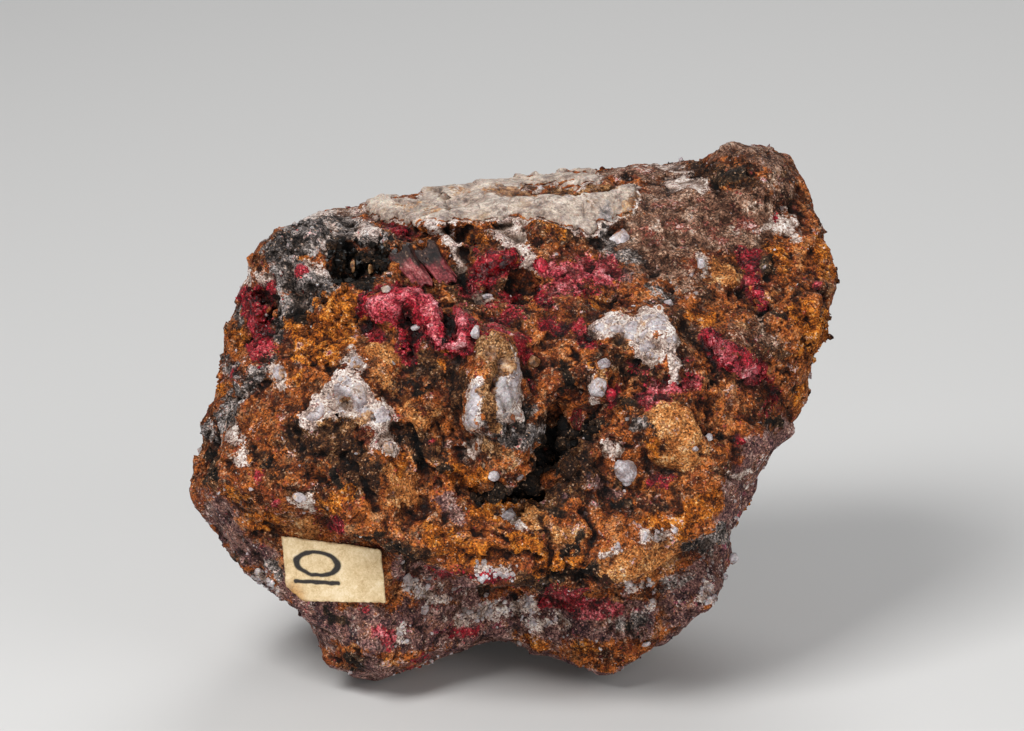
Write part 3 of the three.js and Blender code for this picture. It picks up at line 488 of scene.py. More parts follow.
def scramble(cells, seed):
    """A repeatable random number from 0 to 1 for each whole-number cell."""
    mixed = cells[:, 0] * 73856093 ^ cells[:, 1] * 19349663 ^ cells[:, 2] * 83492791 ^ seed * 2654435761
    mixed = (mixed & 0xFFFFFFFF) * 2246822519 & 0xFFFFFFFF
    mixed = (mixed ^ mixed >> 13) * 3266489917 & 0xFFFFFFFF
    return (mixed ^ mixed >> 16) / 4294967296


def three_draws(cells, seed):
    """Three such numbers for each cell, side by side."""
    return np.stack([scramble(cells, seed + axis) for axis in range(3)], axis=1)


def cloud(points, size, seed):
    """Smooth noise from about -1 to 1, with lumps of that size."""
    corner = np.floor(points / size).astype(np.int64)
    part = points / size - corner
    fade = part ** 3 * (part * (part * 6 - 15) + 10)
    total = np.zeros(len(points))
    for step in itertools.product((0, 1), repeat=3):
        turn = scramble(corner + step, seed) * 2 * math.pi
        height = scramble(corner + step, seed + 1) * 2 - 1
        ring = np.sqrt(1 - height * height)
        offset = part - step
        weight = np.prod(np.where(step, fade, 1 - fade), axis=1)
        slope = ring * (np.cos(turn) * offset[:, 0] + np.sin(turn) * offset[:, 1]) + height * offset[:, 2]
        total += slope * weight
    return total * 1.7


def clouds(points, size, seed, count):
    """Several clouds of one size, side by side."""
    return np.stack([cloud(points, size, seed + side) for side in range(count)], axis=1)


def nearest_cell(points, size, seed):
    """The random cell round each point: its number, the way from its middle, and the two least distances."""
    corner = np.floor(points / size).astype(np.int64)
    first = np.full(len(points), 9.0)
    second = np.full(len(points), 9.0)
    owner = corner.copy()
    from_middle = np.zeros_like(points)
    for step in itertools.product((-1, 0, 1), repeat=3):
        cell = corner + step
        offset = points / size - (cell + three_draws(cell, seed))
        distance = np.sqrt((offset * offset).sum(axis=1))
        nearer = distance < first
        second = np.where(nearer, first, np.minimum(second, distance))
        first = np.where(nearer, distance, first)
        owner = np.where(nearer[:, None], cell, owner)
        from_middle = np.where(nearer[:, None], offset, from_middle)
    return owner, from_middle, first, second


def chips(points, size, seed):
    """Broken fragments of that size: the height of each one's tilted top, and the way to its edge."""
    owner, from_middle, first, second = nearest_cell(points, size, seed)
    tilt = three_draws(owner, seed + 5) * 2 - 1
    height = scramble(owner, seed + 9) * 2 - 1
    return height * 0.3 + (tilt * from_middle).sum(axis=1), second - first


def pits(points, size, crowding, seed):
    """Ragged holes spaced by about that size, in that share of the cells: 1 at the bottom, 0 outside."""
    stir = clouds(points, size * 0.35, seed + 20, 3)
    owner, _, first, _ = nearest_cell(points + 0.25 * size * stir, size, seed)
    return ease(0.44, 0.08, first) * (scramble(owner, seed + 11) < crowding)


def to_face(points):
    """World millimetres as across, deep and up the leaning face."""
    across, back, up = (points - FACE_MIDDLE).T
    deep = back * math.cos(FACE_LEAN) - up * math.sin(FACE_LEAN)
    rise = back * math.sin(FACE_LEAN) + up * math.cos(FACE_LEAN)
    return np.stack((across, deep, rise), axis=1)


def seen_on_face(face):
    """Where each place of the leaning face is seen, across and up, from the camera's distance."""
    nearness = VIEW_DISTANCE / (VIEW_DISTANCE + face[:, 1])
    return VIEW_AXIS + (face[:, ::2] - VIEW_AXIS) * nearness[:, None]


def turn_to_view(normals):
    """How far each normal turns to the camera: 1 straight at it, below 0 away from it."""
    return -(normals[:, 1] * math.cos(FACE_LEAN) - normals[:, 2] * math.sin(FACE_LEAN))


def way_to_path(place, path):
    """The distance on the face from each place to a path of one or more points."""
    nearest = np.full(len(place), 1e6)
    for start, end in zip(path, path[1:] or path):
        start = np.array(start)
        run = np.array(end) - start
        along = np.clip((place - start) @ run / max(run @ run, 1e-9), 0, 1)
        gap = place - start - along[:, None] * run
        nearest = np.minimum(nearest, np.sqrt((gap * gap).sum(axis=1)))
    return nearest


def share_of_patches(points, normals, strokes, seed):
    """How much of a mineral shows at each place, from 0 to 1, with ragged edges, on the face only."""
    face = to_face(points)
    ragged = clouds(points, 2.4, seed, 2) * 0.8 + clouds(points, 0.9, seed + 2, 2) * 0.4
    places = seen_on_face(face) + ragged
    share = np.zeros(len(points))
    for _, path, width, strength in strokes:
        share = np.maximum(share, strength * ease(2.1, 0.1, way_to_path(places, path) / width))
    in_view = ease(-0.25, 0.1, turn_to_view(normals)) * ease(14, 6, face[:, 1])
    return share * np.maximum(in_view, ease(-2, -8, face[:, 1]))


def back_share(points, normals, size, level, seed):
    """A mineral scattered over the sides, back and underside, where cloud noise is above a level."""
    face = to_face(points)
    hidden = np.maximum(ease(0.1, -0.25, turn_to_view(normals)), ease(6, 14, face[:, 1]))
    hidden *= ease(-8, -2, face[:, 1])
    depth = cloud(points, size, seed) + 0.5 * cloud(points, size / 2.5, seed + 3)
    return hidden * ease(level - 0.15, level + 0.15, depth)


# Minerals of the unseen sides: strength, size of their patches, level of cloud noise, seed.
BACK_MINERALS = {
    "clay": (1.0, 17, 0.05, 31),
    "quartz": (1.0, 9, 0.5, 41),
    "cuprite": (0.8, 7, 0.62, 51),
    "limonite": (0.9, 11, 0.3, 61),
    "grey": (0.8, 13, 0.35, 71),
    "tan": (0.8, 10, 0.4, 81),
}


def zones_of(points, normals):
    """The share of each mineral at each place on the rock."""
    zones = {zone: share_of_patches(points, normals, strokes, 100 + 10 * order)
             for order, (zone, strokes) in enumerate(PATCHES.items())}
    for zone, (strength, size, level, seed) in BACK_MINERALS.items():
        zones[zone] = np.maximum(zones[zone], strength * back_share(points, normals, size, level, seed))
    underside = ease(-0.15, -0.6, normals[:, 2]) * 0.7 * ease(22, 12, points[:, 2])
    zones["clay"] = np.maximum(zones["clay"], underside)
    return zones


rock = copy_of("matrix", "gossan_lump")
fillers = []
for inlay in INLAYS + BLOCKS:
    filler = copy_of(inlay, "filler")
    bpy.ops.object.mode_set(mode="EDIT")
    bpy.ops.mesh.select_all(action="SELECT")
    bpy.ops.transform.shrink_fatten(value=(BLOCK_CLOSING if inlay in BLOCKS else SOCKET_CLOSING) * MM)
    bpy.ops.object.mode_set(mode="OBJECT")
    fillers.append(filler)
pick(*fillers, rock)
bpy.ops.object.join()
remesh = rock.modifiers.new("skin", "REMESH")
remesh.mode = "VOXEL"
remesh.voxel_size = ROCK_VOXEL * MM
bpy.ops.object.modifier_apply(modifier="skin")
smoothing = rock.modifiers.new("worn facets", "SMOOTH")
smoothing.factor = 0.5
smoothing.iterations = FACET_SMOOTHING
bpy.ops.object.modifier_apply(modifier="worn facets")

# How much of each seated piece shows at every vertex of the skin.
skin_points = points_of(rock)
skin_normals = normals_of(rock)
EDGE_REACH = 0.9
BOX_MARGIN = 1.5
SEARCH_REACH = 4.0
piece_share = {}
for inlay in INLAYS:
    low, high = (np.array(corner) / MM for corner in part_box(inlay))
    close = np.all((skin_points > low - BOX_MARGIN) & (skin_points < high + BOX_MARGIN), axis=1)
    inlay_surface = BVHTree.FromPolygons(
        [vertex.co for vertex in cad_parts[inlay].data.vertices],
        [polygon.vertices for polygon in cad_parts[inlay].data.polygons],
    )
    gap = np.full(len(skin_points), 9.0)
    gap[close] = [inlay_surface.find_nearest(Vector(point * MM), SEARCH_REACH * MM)[3] or 0.0
                  for point in skin_points[close]]
    gap[close] /= MM
    seated = ease(EDGE_REACH + 0.6, EDGE_REACH, gap + 0.3 * cloud(skin_points, 1.4, 7))
    shown = share_of_patches(skin_points, skin_normals, SHOWING[inlay], 7)
    piece_share[inlay] = seated * ease(0.12, 0.4, shown)
zones = zones_of(skin_points, skin_normals)
white = np.maximum.reduce([piece_share[name] for name in INLAYS if name.startswith("quartz")])
red = np.maximum.reduce([piece_share[name] for name in INLAYS if name.startswith("cuprite")])
zones["quartz"] = np.maximum(zones["quartz"] * (1 - red), white)
zones["cuprite"] = np.maximum(zones["cuprite"] * (1 - white), red)

# The finer forms are pushed out of the skin or into it first.
face_points = to_face(skin_points)
on_face = ease(4, -2, face_points[:, 1])
seen_places = seen_on_face(face_points) + clouds(skin_points, 1.8, 270, 2) * 0.35
for _, path, width, rise in FINE_FORMS:
    pushed = rise * np.exp(-((way_to_path(seen_places, path) / width) ** 2)) * on_face
    skin_points = skin_points + skin_normals * pushed[:, None]
move_points(rock, skin_points)
skin_normals = normals_of(rock)

# Relief, coarse to fine: fragment size, height of the tilted tops, depth and width of the crevices.
FRAGMENTS = (
    {"size": 3.1, "tops": 0.55, "crevice": 0.5, "narrow": 0.07},
    {"size": 1.6, "tops": 0.24, "crevice": 0.26, "narrow": 0.1},
    {"size": 0.9, "tops": 0.11, "crevice": 0.08, "narrow": 0.13},
)
# Pits: spacing, share of the spaces that hold one, depth, seed.
PITS = ((3.4, 0.2, 0.9, 380), (2.0, 0.25, 0.55, 390))
CRUMBLE_SIZE = 8.0


def push_skin(outward):
    """Moves the rock's skin outward by these distances, and gives its new points and normals."""
    moved = skin_points + skin_normals * outward[:, None]
    move_points(rock, moved)
    return moved, normals_of(rock)


smooth_zones = np.maximum.reduce([zones["quartz"], 0.85 * zones["tan"], 0.75 * zones["slope"],
                                  0.8 * zones["worn"]])
crumbling = 0.3 + 0.7 * ease(-0.35, 0.45, cloud(skin_points, CRUMBLE_SIZE, 290))
crumbling = np.maximum(crumbling, zones["limonite"])
slip_low, slip_high = (np.array(corner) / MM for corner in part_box("number_slip"))
slip_middle = (slip_low + slip_high) / 2
near_slip = ease(10.5, 7.5, np.sqrt(((skin_points - slip_middle) ** 2).sum(axis=1)))
roughened = (1 - 0.8 * smooth_zones) * (1 - 0.55 * zones["clay"]) * (1 - 0.9 * near_slip)
roughened *= 1 + 0.25 * zones["grey"] + 0.6 * zones["dark"]
resting = ease(0.4, 2.0, skin_points[:, 2])
for level, fragment in enumerate(FRAGMENTS):
    stir = clouds(skin_points, fragment["size"] * 0.8, 200 + 7 * level, 3)
    warped = skin_points + stir * fragment["size"] * 0.28
    tops, edge = chips(warped, fragment["size"], 300 + 20 * level)
    crevice = np.exp(-((edge / fragment["narrow"]) ** 2))
    crevice *= ease(0.0, 0.5, cloud(skin_points, fragment["size"] * 2.2, 230 + level))
    lump = cloud(skin_points, fragment["size"] * 0.9, 240 + level)
    lift = fragment["tops"] * (tops + 0.7 * lump) - fragment["crevice"] * crevice
    lift *= roughened * resting * (crumbling if level else 1.0)
    skin_points, skin_normals = push_skin(lift)
holes = sum(depth * pits(skin_points, size, crowding, seed) for size, crowding, depth, seed in PITS)
skin_points, skin_normals = push_skin(-(holes * roughened * resting * crumbling))
swell = 0.3 * cloud(skin_points, 3.2, 260) + 0.12 * cloud(skin_points, 1.4, 262)
skin_points, skin_normals = push_skin(swell * smooth_zones * resting * (1 - near_slip))
skin_points[:, 2] = np.maximum(skin_points[:, 2], 0)
move_points(rock, skin_points)
skin_normals = normals_of(rock)

# Hollows of the skin, where it lies below its own blurred form: the materials darken their colours there as
# painted shade.
FINE_BLUR = 8
BROAD_BLUR = 36
TURN_BLUR = 12
edges = np.empty(len(rock.data.edges) * 2, np.int64)
rock.data.edges.foreach_get("vertices", edges)
edges = edges.reshape(-1, 2)
ends = np.concatenate((edges[:, 0], edges[:, 1]))
others = np.concatenate((edges[:, 1], edges[:, 0]))
neighbours = np.bincount(ends, minlength=len(skin_points))


def blurred(values, times):
    """Values at the skin's vertices, averaged with their neighbours several times."""
    values = values.copy()
    for _ in range(times):
        for column in range(values.shape[1]):
            total = np.bincount(ends, weights=values[others, column], minlength=len(values))
            values[:, column] = 0.5 * values[:, column] + 0.5 * total / neighbours
    return values


fine_form = blurred(skin_points, FINE_BLUR)
broad_form = blurred(fine_form, BROAD_BLUR)
fine_hollow = ((fine_form - skin_points) * skin_normals).sum(axis=1)
broad_hollow = ((broad_form - skin_points) * skin_normals).sum(axis=1)
zones["hollow"] = np.clip(0.5 + 0.9 * fine_hollow + 0.35 * broad_hollow, 0, 1)

corners = np.empty(len(rock.data.loops), np.int64)
rock.data.loops.foreach_get("vertex_index", corners)
skin_quads = corners.reshape(-1, 4)
skin_hollow = zones["hollow"]

# The back needs fewer faces than the red face, so it is thinned there and the marks are read across again.
BACK_TURN = 0.0
towards_viewer = turn_to_view(skin_normals)
blurred_turn = blurred(towards_viewer[:, None], TURN_BLUR)[:, 0]
back_vertices = np.nonzero(blurred_turn < BACK_TURN)[0]
back = rock.vertex_groups.new(name="back")
back.add(back_vertices.tolist(), 1.0, "REPLACE")
thinning = rock.modifiers.new("thinner back", "DECIMATE")
thinning.vertex_group = "back"
thinning.ratio = ROCK_TRIANGLES / (2 * len(skin_quads))
bpy.context.view_layer.objects.active = rock
bpy.ops.object.modifier_apply(modifier="thinner back")
rock.vertex_groups.clear()
lookup = KDTree(len(skin_points))
for index, point in enumerate(skin_points):
    lookup.insert(point, index)
lookup.balance()
matching = np.array([lookup.find(point)[1] for point in points_of(rock)])


def mark(piece, name, values):
    """Stores one number for each vertex of the piece, for its material to read."""
    attribute = piece.data.attributes.new(name, "FLOAT", "POINT")
    attribute.data.foreach_set("value", np.asarray(values, np.float32))


for zone, share in zones.items():
    mark(rock, zone, share[matching])
mark(rock, "tint", np.full(len(matching), 0.5))
bpy.ops.object.shade_smooth()
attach(rock, "root")
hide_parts("matrix")


def linear(hex_colour):
    """An sRGB hex colour as linear red, green, blue and alpha."""
    channels = [int(hex_colour[place:place + 2], 16) / 255 for place in (1, 3, 5)]
    return tuple(c / 12.92 if c <= 0.04045 else ((c + 0.055) / 1.055) ** 2.4 for c in channels) + (1.0,)


def add_node(tree, kind, settings=None, links=None):
    """Adds one shader node with its settings, and gives its inputs values or other nodes' outputs.

    The stops of a run of colours are a setting too: pairs of a place from 0 to 1 and an sRGB hex colour.
    """
    node = tree.nodes.new(kind)
    for name, value in (settings or {}).items():
        if name != "stops":
            setattr(node, name, value)
            continue
        while len(node.color_ramp.elements) < len(value):
            node.color_ramp.elements.new(0.5)
        for element, (place, colour) in zip(node.color_ramp.elements, value):
            element.position = place
            element.color = linear(colour)
    for socket, value in (links or {}).items():
        if isinstance(value, bpy.types.NodeSocket):
            tree.links.new(value, node.inputs[socket])
        else:
            node.inputs[socket].default_value = value
    return node


def new_material(name):
    """An empty node material, and the tree to fill."""
    material = bpy.data.materials.new(name)
    material.use_nodes = True
    tree = material.node_tree
    tree.nodes.clear()
    return material, tree


# Single dust grains, a few of them painted as glints, are finer than this, and are drawn this coarse so that
# they show.
SPECK_SIZE = 0.2
BROAD_SIZE = 7.0
SPREAD_SIZE = 2.4


def grain_patterns(tree, coarse, fine):
    """Mineral grain for a material: random numbers for each fine grain, its edge, and soft noise."""
    place = add_node(tree, "ShaderNodeTexCoord").outputs["Object"]
    stir = add_node(tree, "ShaderNodeTexNoise",
                    links={"Vector": place, "Scale": 1 / (coarse * MM), "Detail": 2.0})
    shift = add_node(tree, "ShaderNodeVectorMath", {"operation": "MULTIPLY_ADD"},
                     {0: stir.outputs["Color"], 1: (coarse * MM,) * 3, 2: place}).outputs["Vector"]
    small = add_node(tree, "ShaderNodeTexVoronoi", links={"Vector": shift, "Scale": 1 / (fine * MM)})
    specks = add_node(tree, "ShaderNodeTexVoronoi", links={"Vector": place, "Scale": 1 / (SPECK_SIZE * MM)})
    broad, spread, dust = (
        add_node(tree, "ShaderNodeTexNoise",
                 links={"Vector": place, "Scale": 1 / (size * MM), "Detail": detail, "Roughness": roughness})
        for size, detail, roughness in (
            (BROAD_SIZE, 5.0, 0.62),
            (SPREAD_SIZE, 7.0, 0.66),
            (fine * 0.8, 3.0, 0.65),
        )
    )
    small_draws, spread_draws, speck_draws = (
        add_node(tree, "ShaderNodeSeparateColor", links={"Color": pattern.outputs["Color"]}).outputs
        for pattern in (small, spread, specks)
    )
    return {
        "place": place,
        "shift": shift,
        "spread": spread_draws,
        "small": small_draws,
        "edge": small.outputs["Distance"],
        "specks": speck_draws[0],
        "broad": broad.outputs["Fac"],
        "dust": dust.outputs["Fac"],
    }


def weighed(tree, parts, start=0.0):
    """The sum of a start and several numbers, each times its weight."""
    total = start
    for value, weight in parts:
        total = add_node(tree, "ShaderNodeMath", {"operation": "MULTIPLY_ADD"},
                         {0: value, 1: weight, 2: total}).outputs["Value"]
    return total


def mineral_colour(tree, grain, draw, stops):
    """A mineral's run of colours, varied in patches, grains and dust."""
    tone = weighed(tree, ((grain["spread"][draw], 1.5), (grain["small"][draw], 0.22), (grain["dust"], 0.6)),
                   -0.66)
    return add_node(tree, "ShaderNodeValToRGB", {"stops": stops}, {"Fac": tone}).outputs["Color"]


def lay_over(tree, under, colour, share, low, high, most=1.0):
    """Lays a colour over those under it where a share rises from low to high, and gives its cover too."""
    cover = add_node(tree, "ShaderNodeMapRange", {"interpolation_type": "SMOOTHSTEP"},
                     {"Value": share, "From Min": low, "From Max": high, "To Max": most}).outputs["Result"]
    mixed = add_node(tree, "ShaderNodeMix", {"data_type": "RGBA"}, {0: cover, 6: under, 7: colour})
    return mixed.outputs[2], cover


def lay_mineral(tree, grain, under, zone, draw, stops, patchy=1.0, soft=0.1, level=0.46):
    """Lays a mineral's colours over those under it where its mark is high, with a ragged grainy edge."""
    share = add_node(tree, "ShaderNodeAttribute", {"attribute_name": zone}).outputs["Fac"]
    raised = weighed(tree, ((share, 1.0), (grain["spread"][draw], 1.8 * patchy),
                            (grain["small"][draw], 0.2 * patchy), (grain["dust"], 0.5 * patchy)),
                     -1.25 * patchy)
    colour = mineral_colour(tree, grain, (draw + 1) % 3, stops)
    return lay_over(tree, under, colour, raised, level - soft, level + soft)


def lay_stains(tree, grain, under, stains):
    """Lays single colours over those under them in soft ragged stains: size, level, colour, strength."""
    for size, level, colour, strength in stains:
        spread = add_node(tree, "ShaderNodeTexNoise", {"noise_dimensions": "4D"},
                          {"Vector": grain["place"], "W": size, "Scale": 1 / (size * MM), "Detail": 6.0,
                           "Roughness": 0.72}).outputs["Fac"]
        under, _ = lay_over(tree, under, linear(colour), spread, level - 0.06, level + 0.06, strength)
    return under


def darkened(tree, under, share, stops):
    """Multiplies the colours under it by a run of shades along a share from 0 to 1."""
    shade = add_node(tree, "ShaderNodeValToRGB", {"stops": stops}, {"Fac": share}).outputs["Color"]
    return add_node(tree, "ShaderNodeMix", {"data_type": "RGBA", "blend_type": "MULTIPLY"},
                    {0: 1.0, 6: under, 7: shade}).outputs[2]


def speckled_with_painted_glints(tree, grain, under, strength):
    """Makes single grains of the colours under it lighter and darker, and paints a few as glints: pale
    painted highlights.
    """
    mottled = add_node(tree, "ShaderNodeMix", {"data_type": "RGBA", "blend_type": "OVERLAY"},
                       {0: strength, 6: under, 7: grain["specks"]}).outputs[2]
    # Painted highlights: the palest few grains are screened towards a warm pale colour, as glints.
    glints = add_node(tree, "ShaderNodeMapRange",
                      links={"Value": grain["specks"], "From Min": 0.96, "From Max": 0.99,
                             "To Max": strength}).outputs[0]
    return add_node(tree, "ShaderNodeMix", {"data_type": "RGBA", "blend_type": "SCREEN"},
                    {0: glints, 6: mottled, 7: linear("#b08f74")}).outputs[2]


def end_material(tree, look, relief=None, strength=1.0, depth=0.0):
    """Ends a material in a surface of that look, its relief drawn as a bump of a depth in millimetres."""
    if relief is not None:
        look["Normal"] = add_node(tree, "ShaderNodeBump", links={"Height": relief, "Strength": strength,
                                                                 "Distance": depth * MM}).outputs["Normal"]
    surface = add_node(tree, "ShaderNodeBsdfPrincipled", links=look)
    add_node(tree, "ShaderNodeOutputMaterial", links={"Surface": surface.outputs["BSDF"]})


# Gossan: earthy iron oxides, matt and granular, umber to rust to ochre. Mineral stains cover it grain by
# grain, about 0.3 to 0.9 mm, so their edges are grainy. Crystal faces here and there catch the light.
RUST = ((0.2, "#1f0f07"), (0.36, "#4a2510"), (0.48, "#783d15"), (0.6, "#a05521"), (0.74, "#b8763c"),
        (0.9, "#cea074"))
STAIN = ((0.2, "#2a170c"), (0.38, "#5f3b1f"), (0.52, "#90643c"), (0.7, "#b69068"), (0.88, "#d0b898"))
VELVET = ((0.2, "#4a0e14"), (0.38, "#8c2531"), (0.52, "#b04a52"), (0.66, "#c27076"), (0.85, "#d8a3a4"))
gossan, tree = new_material("gossan")
grain = grain_patterns(tree, coarse=0.9, fine=0.32)
rust = weighed(tree, ((grain["spread"][0], 1.2), (grain["broad"], 0.9), (grain["small"][0], 0.2),
                      (grain["dust"], 0.5)), -0.92)
colour = add_node(tree, "ShaderNodeValToRGB", {"stops": RUST}, {"Fac": rust}).outputs["Color"]
colour = lay_stains(tree, grain, colour, (
    (4.1, 0.55, "#71301c", 0.6),
    (3.3, 0.56, "#b5652a", 0.7),
    (2.6, 0.58, "#b4845a", 0.5),
    (2.2, 0.56, "#23140b", 0.8),
    (1.2, 0.62, "#c8ac92", 0.6),
    (0.9, 0.61, "#84243a", 0.55),
    (0.6, 0.62, "#1c100a", 0.8),
))
covers = {}
for zone, draw, patchy, level, stops in (
    ("umber", 1, 1.0, 0.46,
     ((0.2, "#0d0705"), (0.4, "#2c180d"), (0.54, "#4c2c17"), (0.68, "#74502f"), (0.85, "#a98a68"))),
    ("slope", 0, 1.0, 0.46,
     ((0.2, "#2c1a14"), (0.38, "#573a2c"), (0.5, "#745342"), (0.64, "#957664"), (0.84, "#c6b2a2"))),
    ("slope", 2, 1.0, 0.98, ((0.3, "#6a2f2c"), (0.6, "#8d4a3c"))),
    ("slope", 1, 1.0, 1.12, ((0.3, "#a08a7c"), (0.6, "#d2c6bc"))),
    ("clay", 1, 1.0, 0.46,
     ((0.2, "#20141a"), (0.36, "#4a3134"), (0.48, "#6c4a46"), (0.62, "#8c6b65"), (0.8, "#bda7a0"))),
    ("clay", 2, 1.0, 0.96, ((0.3, "#5e342a"), (0.6, "#8c5a3e"))),
    ("clay", 0, 1.0, 1.1, ((0.3, "#86304a"), (0.6, "#b4607a"))),
    ("clay", 1, 1.0, 1.08, ((0.3, "#b7a8a2"), (0.6, "#ddd3cd"))),
    ("grey", 2, 1.0, 0.46,
     ((0.2, "#0a0808"), (0.36, "#292321"), (0.48, "#534b48"), (0.6, "#7f7775"), (0.78, "#c2bab6"))),
    ("grey", 0, 1.0, 1.1, ((0.3, "#0b0a09"), (0.6, "#2a2522"))),
    ("tan", 0, 1.0, 0.4,
     ((0.2, "#6a3a18"), (0.38, "#96592b"), (0.52, "#b0723c"), (0.68, "#c2905c"), (0.85, "#dcc09c"))),
    ("limonite", 1, 1.0, 0.46,
     ((0.2, "#2e1404"), (0.36, "#70380c"), (0.48, "#9e5414"), (0.62, "#bb7124"), (0.82, "#d49a4c"))),
    ("quartz", 2, 1.6, 0.46,
     ((0.2, "#765e56"), (0.36, "#a59087"), (0.5, "#c4b4ac"), (0.7, "#d8cec8"), (0.88, "#e8e2de"))),
    ("cuprite", 0, 1.3, 0.46,
     ((0.2, "#1c0405"), (0.36, "#48090f"), (0.5, "#7d111c"), (0.66, "#9e2631"), (0.85, "#bd6267"))),
    ("velvet", 2, 1.3, 0.46, VELVET),
    # Painted shade: the dark zone's near-black browns, laid where shadow falls in the vug, cave, crevices and
    # pits.
    ("dark", 1, 1.0, 0.46,
     ((0.2, "#060403"), (0.42, "#18100a"), (0.58, "#2c1e13"), (0.72, "#4a3524"), (0.88, "#86705a"))),
    ("stain", 1, 1.0, 0.46, STAIN),
):
    colour, covers[zone] = lay_mineral(tree, grain, colour, zone, draw, stops, patchy, level=level)
# Single grains mottled lighter and darker, and a few painted as glints, painted highlights.
colour = speckled_with_painted_glints(tree, grain, colour, 0.8)
# Painted shade: colours darkened in the skin's hollows, where shadow falls; the tint darkens single grains at
# random.
for name, stops in (
    ("hollow", ((0.1, "#ffffff"), (0.48, "#ece6e0"), (0.64, "#9c8c80"), (0.9, "#33261e"))),
    ("tint", ((0.0, "#8c8580"), (0.5, "#ffffff"), (1.0, "#ffffff"))),
):
    share = add_node(tree, "ShaderNodeAttribute", {"attribute_name": name}).outputs["Fac"]
    colour = darkened(tree, colour, share, stops)
glint = add_node(tree, "ShaderNodeMath", {"operation": "GREATER_THAN"},
                 {0: grain["small"][1], 1: 0.88}).outputs["Value"]
roughness = weighed(tree, ((covers["cuprite"], -0.4), (covers["quartz"], -0.35), (glint, -0.42),
                           (grain["dust"], 0.2)))
roughness = add_node(tree, "ShaderNodeMath", {"use_clamp": True}, {0: roughness, 1: 0.74}).outputs["Value"]
relief = weighed(tree, ((grain["spread"][0], 2.4), (grain["dust"], 0.8), (grain["edge"], -0.4),
                        (grain["small"][2], 0.3)))
end_material(tree, {"Base Color": colour, "Roughness": roughness, "Specular IOR Level": 0.2},
             relief, 0.85, 0.22)
rock.data.materials.append(gossan)


# The quartz
# Cream massive quartz in a slab along the top, and milky, waxy quartz in a knob and two patches on the
# face. It grew in the rock's gaps, so each piece is a broken shell whose rusty rim dips into the gossan.
ISLAND_LEAST = 40
RIM_DIP = 0.22
RIM_STEPS = 30
SHELL_THICKNESS = 0.9
CRACK_SPACING = 4.2
crust_rise = np.zeros(len(skin_points))


def side_pairs(quads):
    """The vertex pairs along the sides of quads, and how many quads share each."""
    sides = np.concatenate([quads[:, (turn, (turn + 1) % 4)] for turn in range(4)])
    return np.unique(np.sort(sides, axis=1), axis=0, return_counts=True)


def lift_shell(name, share, top, feather, smoothing_times, relief_of):
    """A closed shell on the skin where a piece's share is high, finer than the skin, its rim dipped."""
    quads = skin_quads[np.all(share[skin_quads] > 0.5, axis=1)]
    pairs, _ = side_pairs(quads)
    island = np.arange(len(skin_points))
    changed = True
    while changed:
        before = island.copy()
        np.minimum.at(island, pairs[:, 0], island[pairs[:, 1]])
        np.minimum.at(island, pairs[:, 1], island[pairs[:, 0]])
        changed = np.any(before != island)
    sizes = np.bincount(island[quads[:, 0]], minlength=len(skin_points))
    quads = quads[sizes[island[quads[:, 0]]] >= ISLAND_LEAST]
    used, quads = np.unique(quads, return_inverse=True)
    quads = quads.reshape(-1, 4)
    points = skin_points[used]
    pairs, counts = side_pairs(quads)
    way_in = np.full(len(used), 9.0)
    way_in[np.unique(pairs[counts == 1])] = 0
    steps = np.sqrt(((points[pairs[:, 0]] - points[pairs[:, 1]]) ** 2).sum(axis=1))
    for _ in range(RIM_STEPS):
        np.minimum.at(way_in, pairs[:, 0], way_in[pairs[:, 1]] + steps)
        np.minimum.at(way_in, pairs[:, 1], way_in[pairs[:, 0]] + steps)
    rise = (top + RIM_DIP) * ease(0, feather, way_in) - RIM_DIP
    points = points + skin_normals[used] * rise[:, None]
    crust_rise[used] = rise
    mesh = bpy.data.meshes.new(name)
    mesh.from_pydata(points * MM, [], quads.tolist())
    shell = bpy.data.objects.new(name, mesh)
    bpy.context.scene.collection.objects.link(shell)
    mark(shell, "way_in", way_in)
    # The skin's hollow mark goes on to the shell, for painted shade in its hollows.
    mark(shell, "hollow", skin_hollow[used])
    for zone in ("stain", "grey", "dark", "velvet"):
        mark(shell, zone, zones[zone][used])
    pick(shell)
    bpy.ops.object.mode_set(mode="EDIT")
    bpy.ops.mesh.select_all(action="SELECT")
    bpy.ops.mesh.subdivide(number_cuts=1)
    if smoothing_times:
        bpy.ops.mesh.vertices_smooth(factor=0.5, repeat=smoothing_times)
    bpy.ops.object.mode_set(mode="OBJECT")
    fine_points = points_of(shell)
    move_points(shell, fine_points + normals_of(shell) * relief_of(fine_points)[:, None])
    wall = shell.modifiers.new("wall", "SOLIDIFY")
    wall.thickness = SHELL_THICKNESS * MM
    wall.offset = -1
    bpy.ops.object.modifier_apply(modifier="wall")
    bpy.ops.object.shade_smooth()
    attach(shell, "root")
    return shell


def conchoidal(points):
    """Shell-like breaks of quartz in flat steps, with fine splinters."""
    tops, edge = chips(points, 2.4, 410)
    steps, _ = chips(points, 0.9, 430)
    return 0.3 * tops + 0.12 * steps - 0.15 * np.exp(-((edge / 0.06) ** 2))


def bedded(points):
    """The worn top of massive quartz: low waves with a few cracks."""
    tops, edge = chips(points, 5.2, 440)
    steps, _ = chips(points, 1.7, 455)
    return 0.35 * tops + 0.1 * steps + 0.08 * cloud(points, 2.4, 450) - 0.3 * np.exp(-((edge / 0.02) ** 2))


def beaded(points):
    """Rounded beads of milky quartz grown against one another."""
    tops, edge = chips(points, 1.7, 460)
    beads = np.sqrt(np.clip(edge, 0, 0.5))
    return 0.55 * beads + 0.08 * tops - 0.25


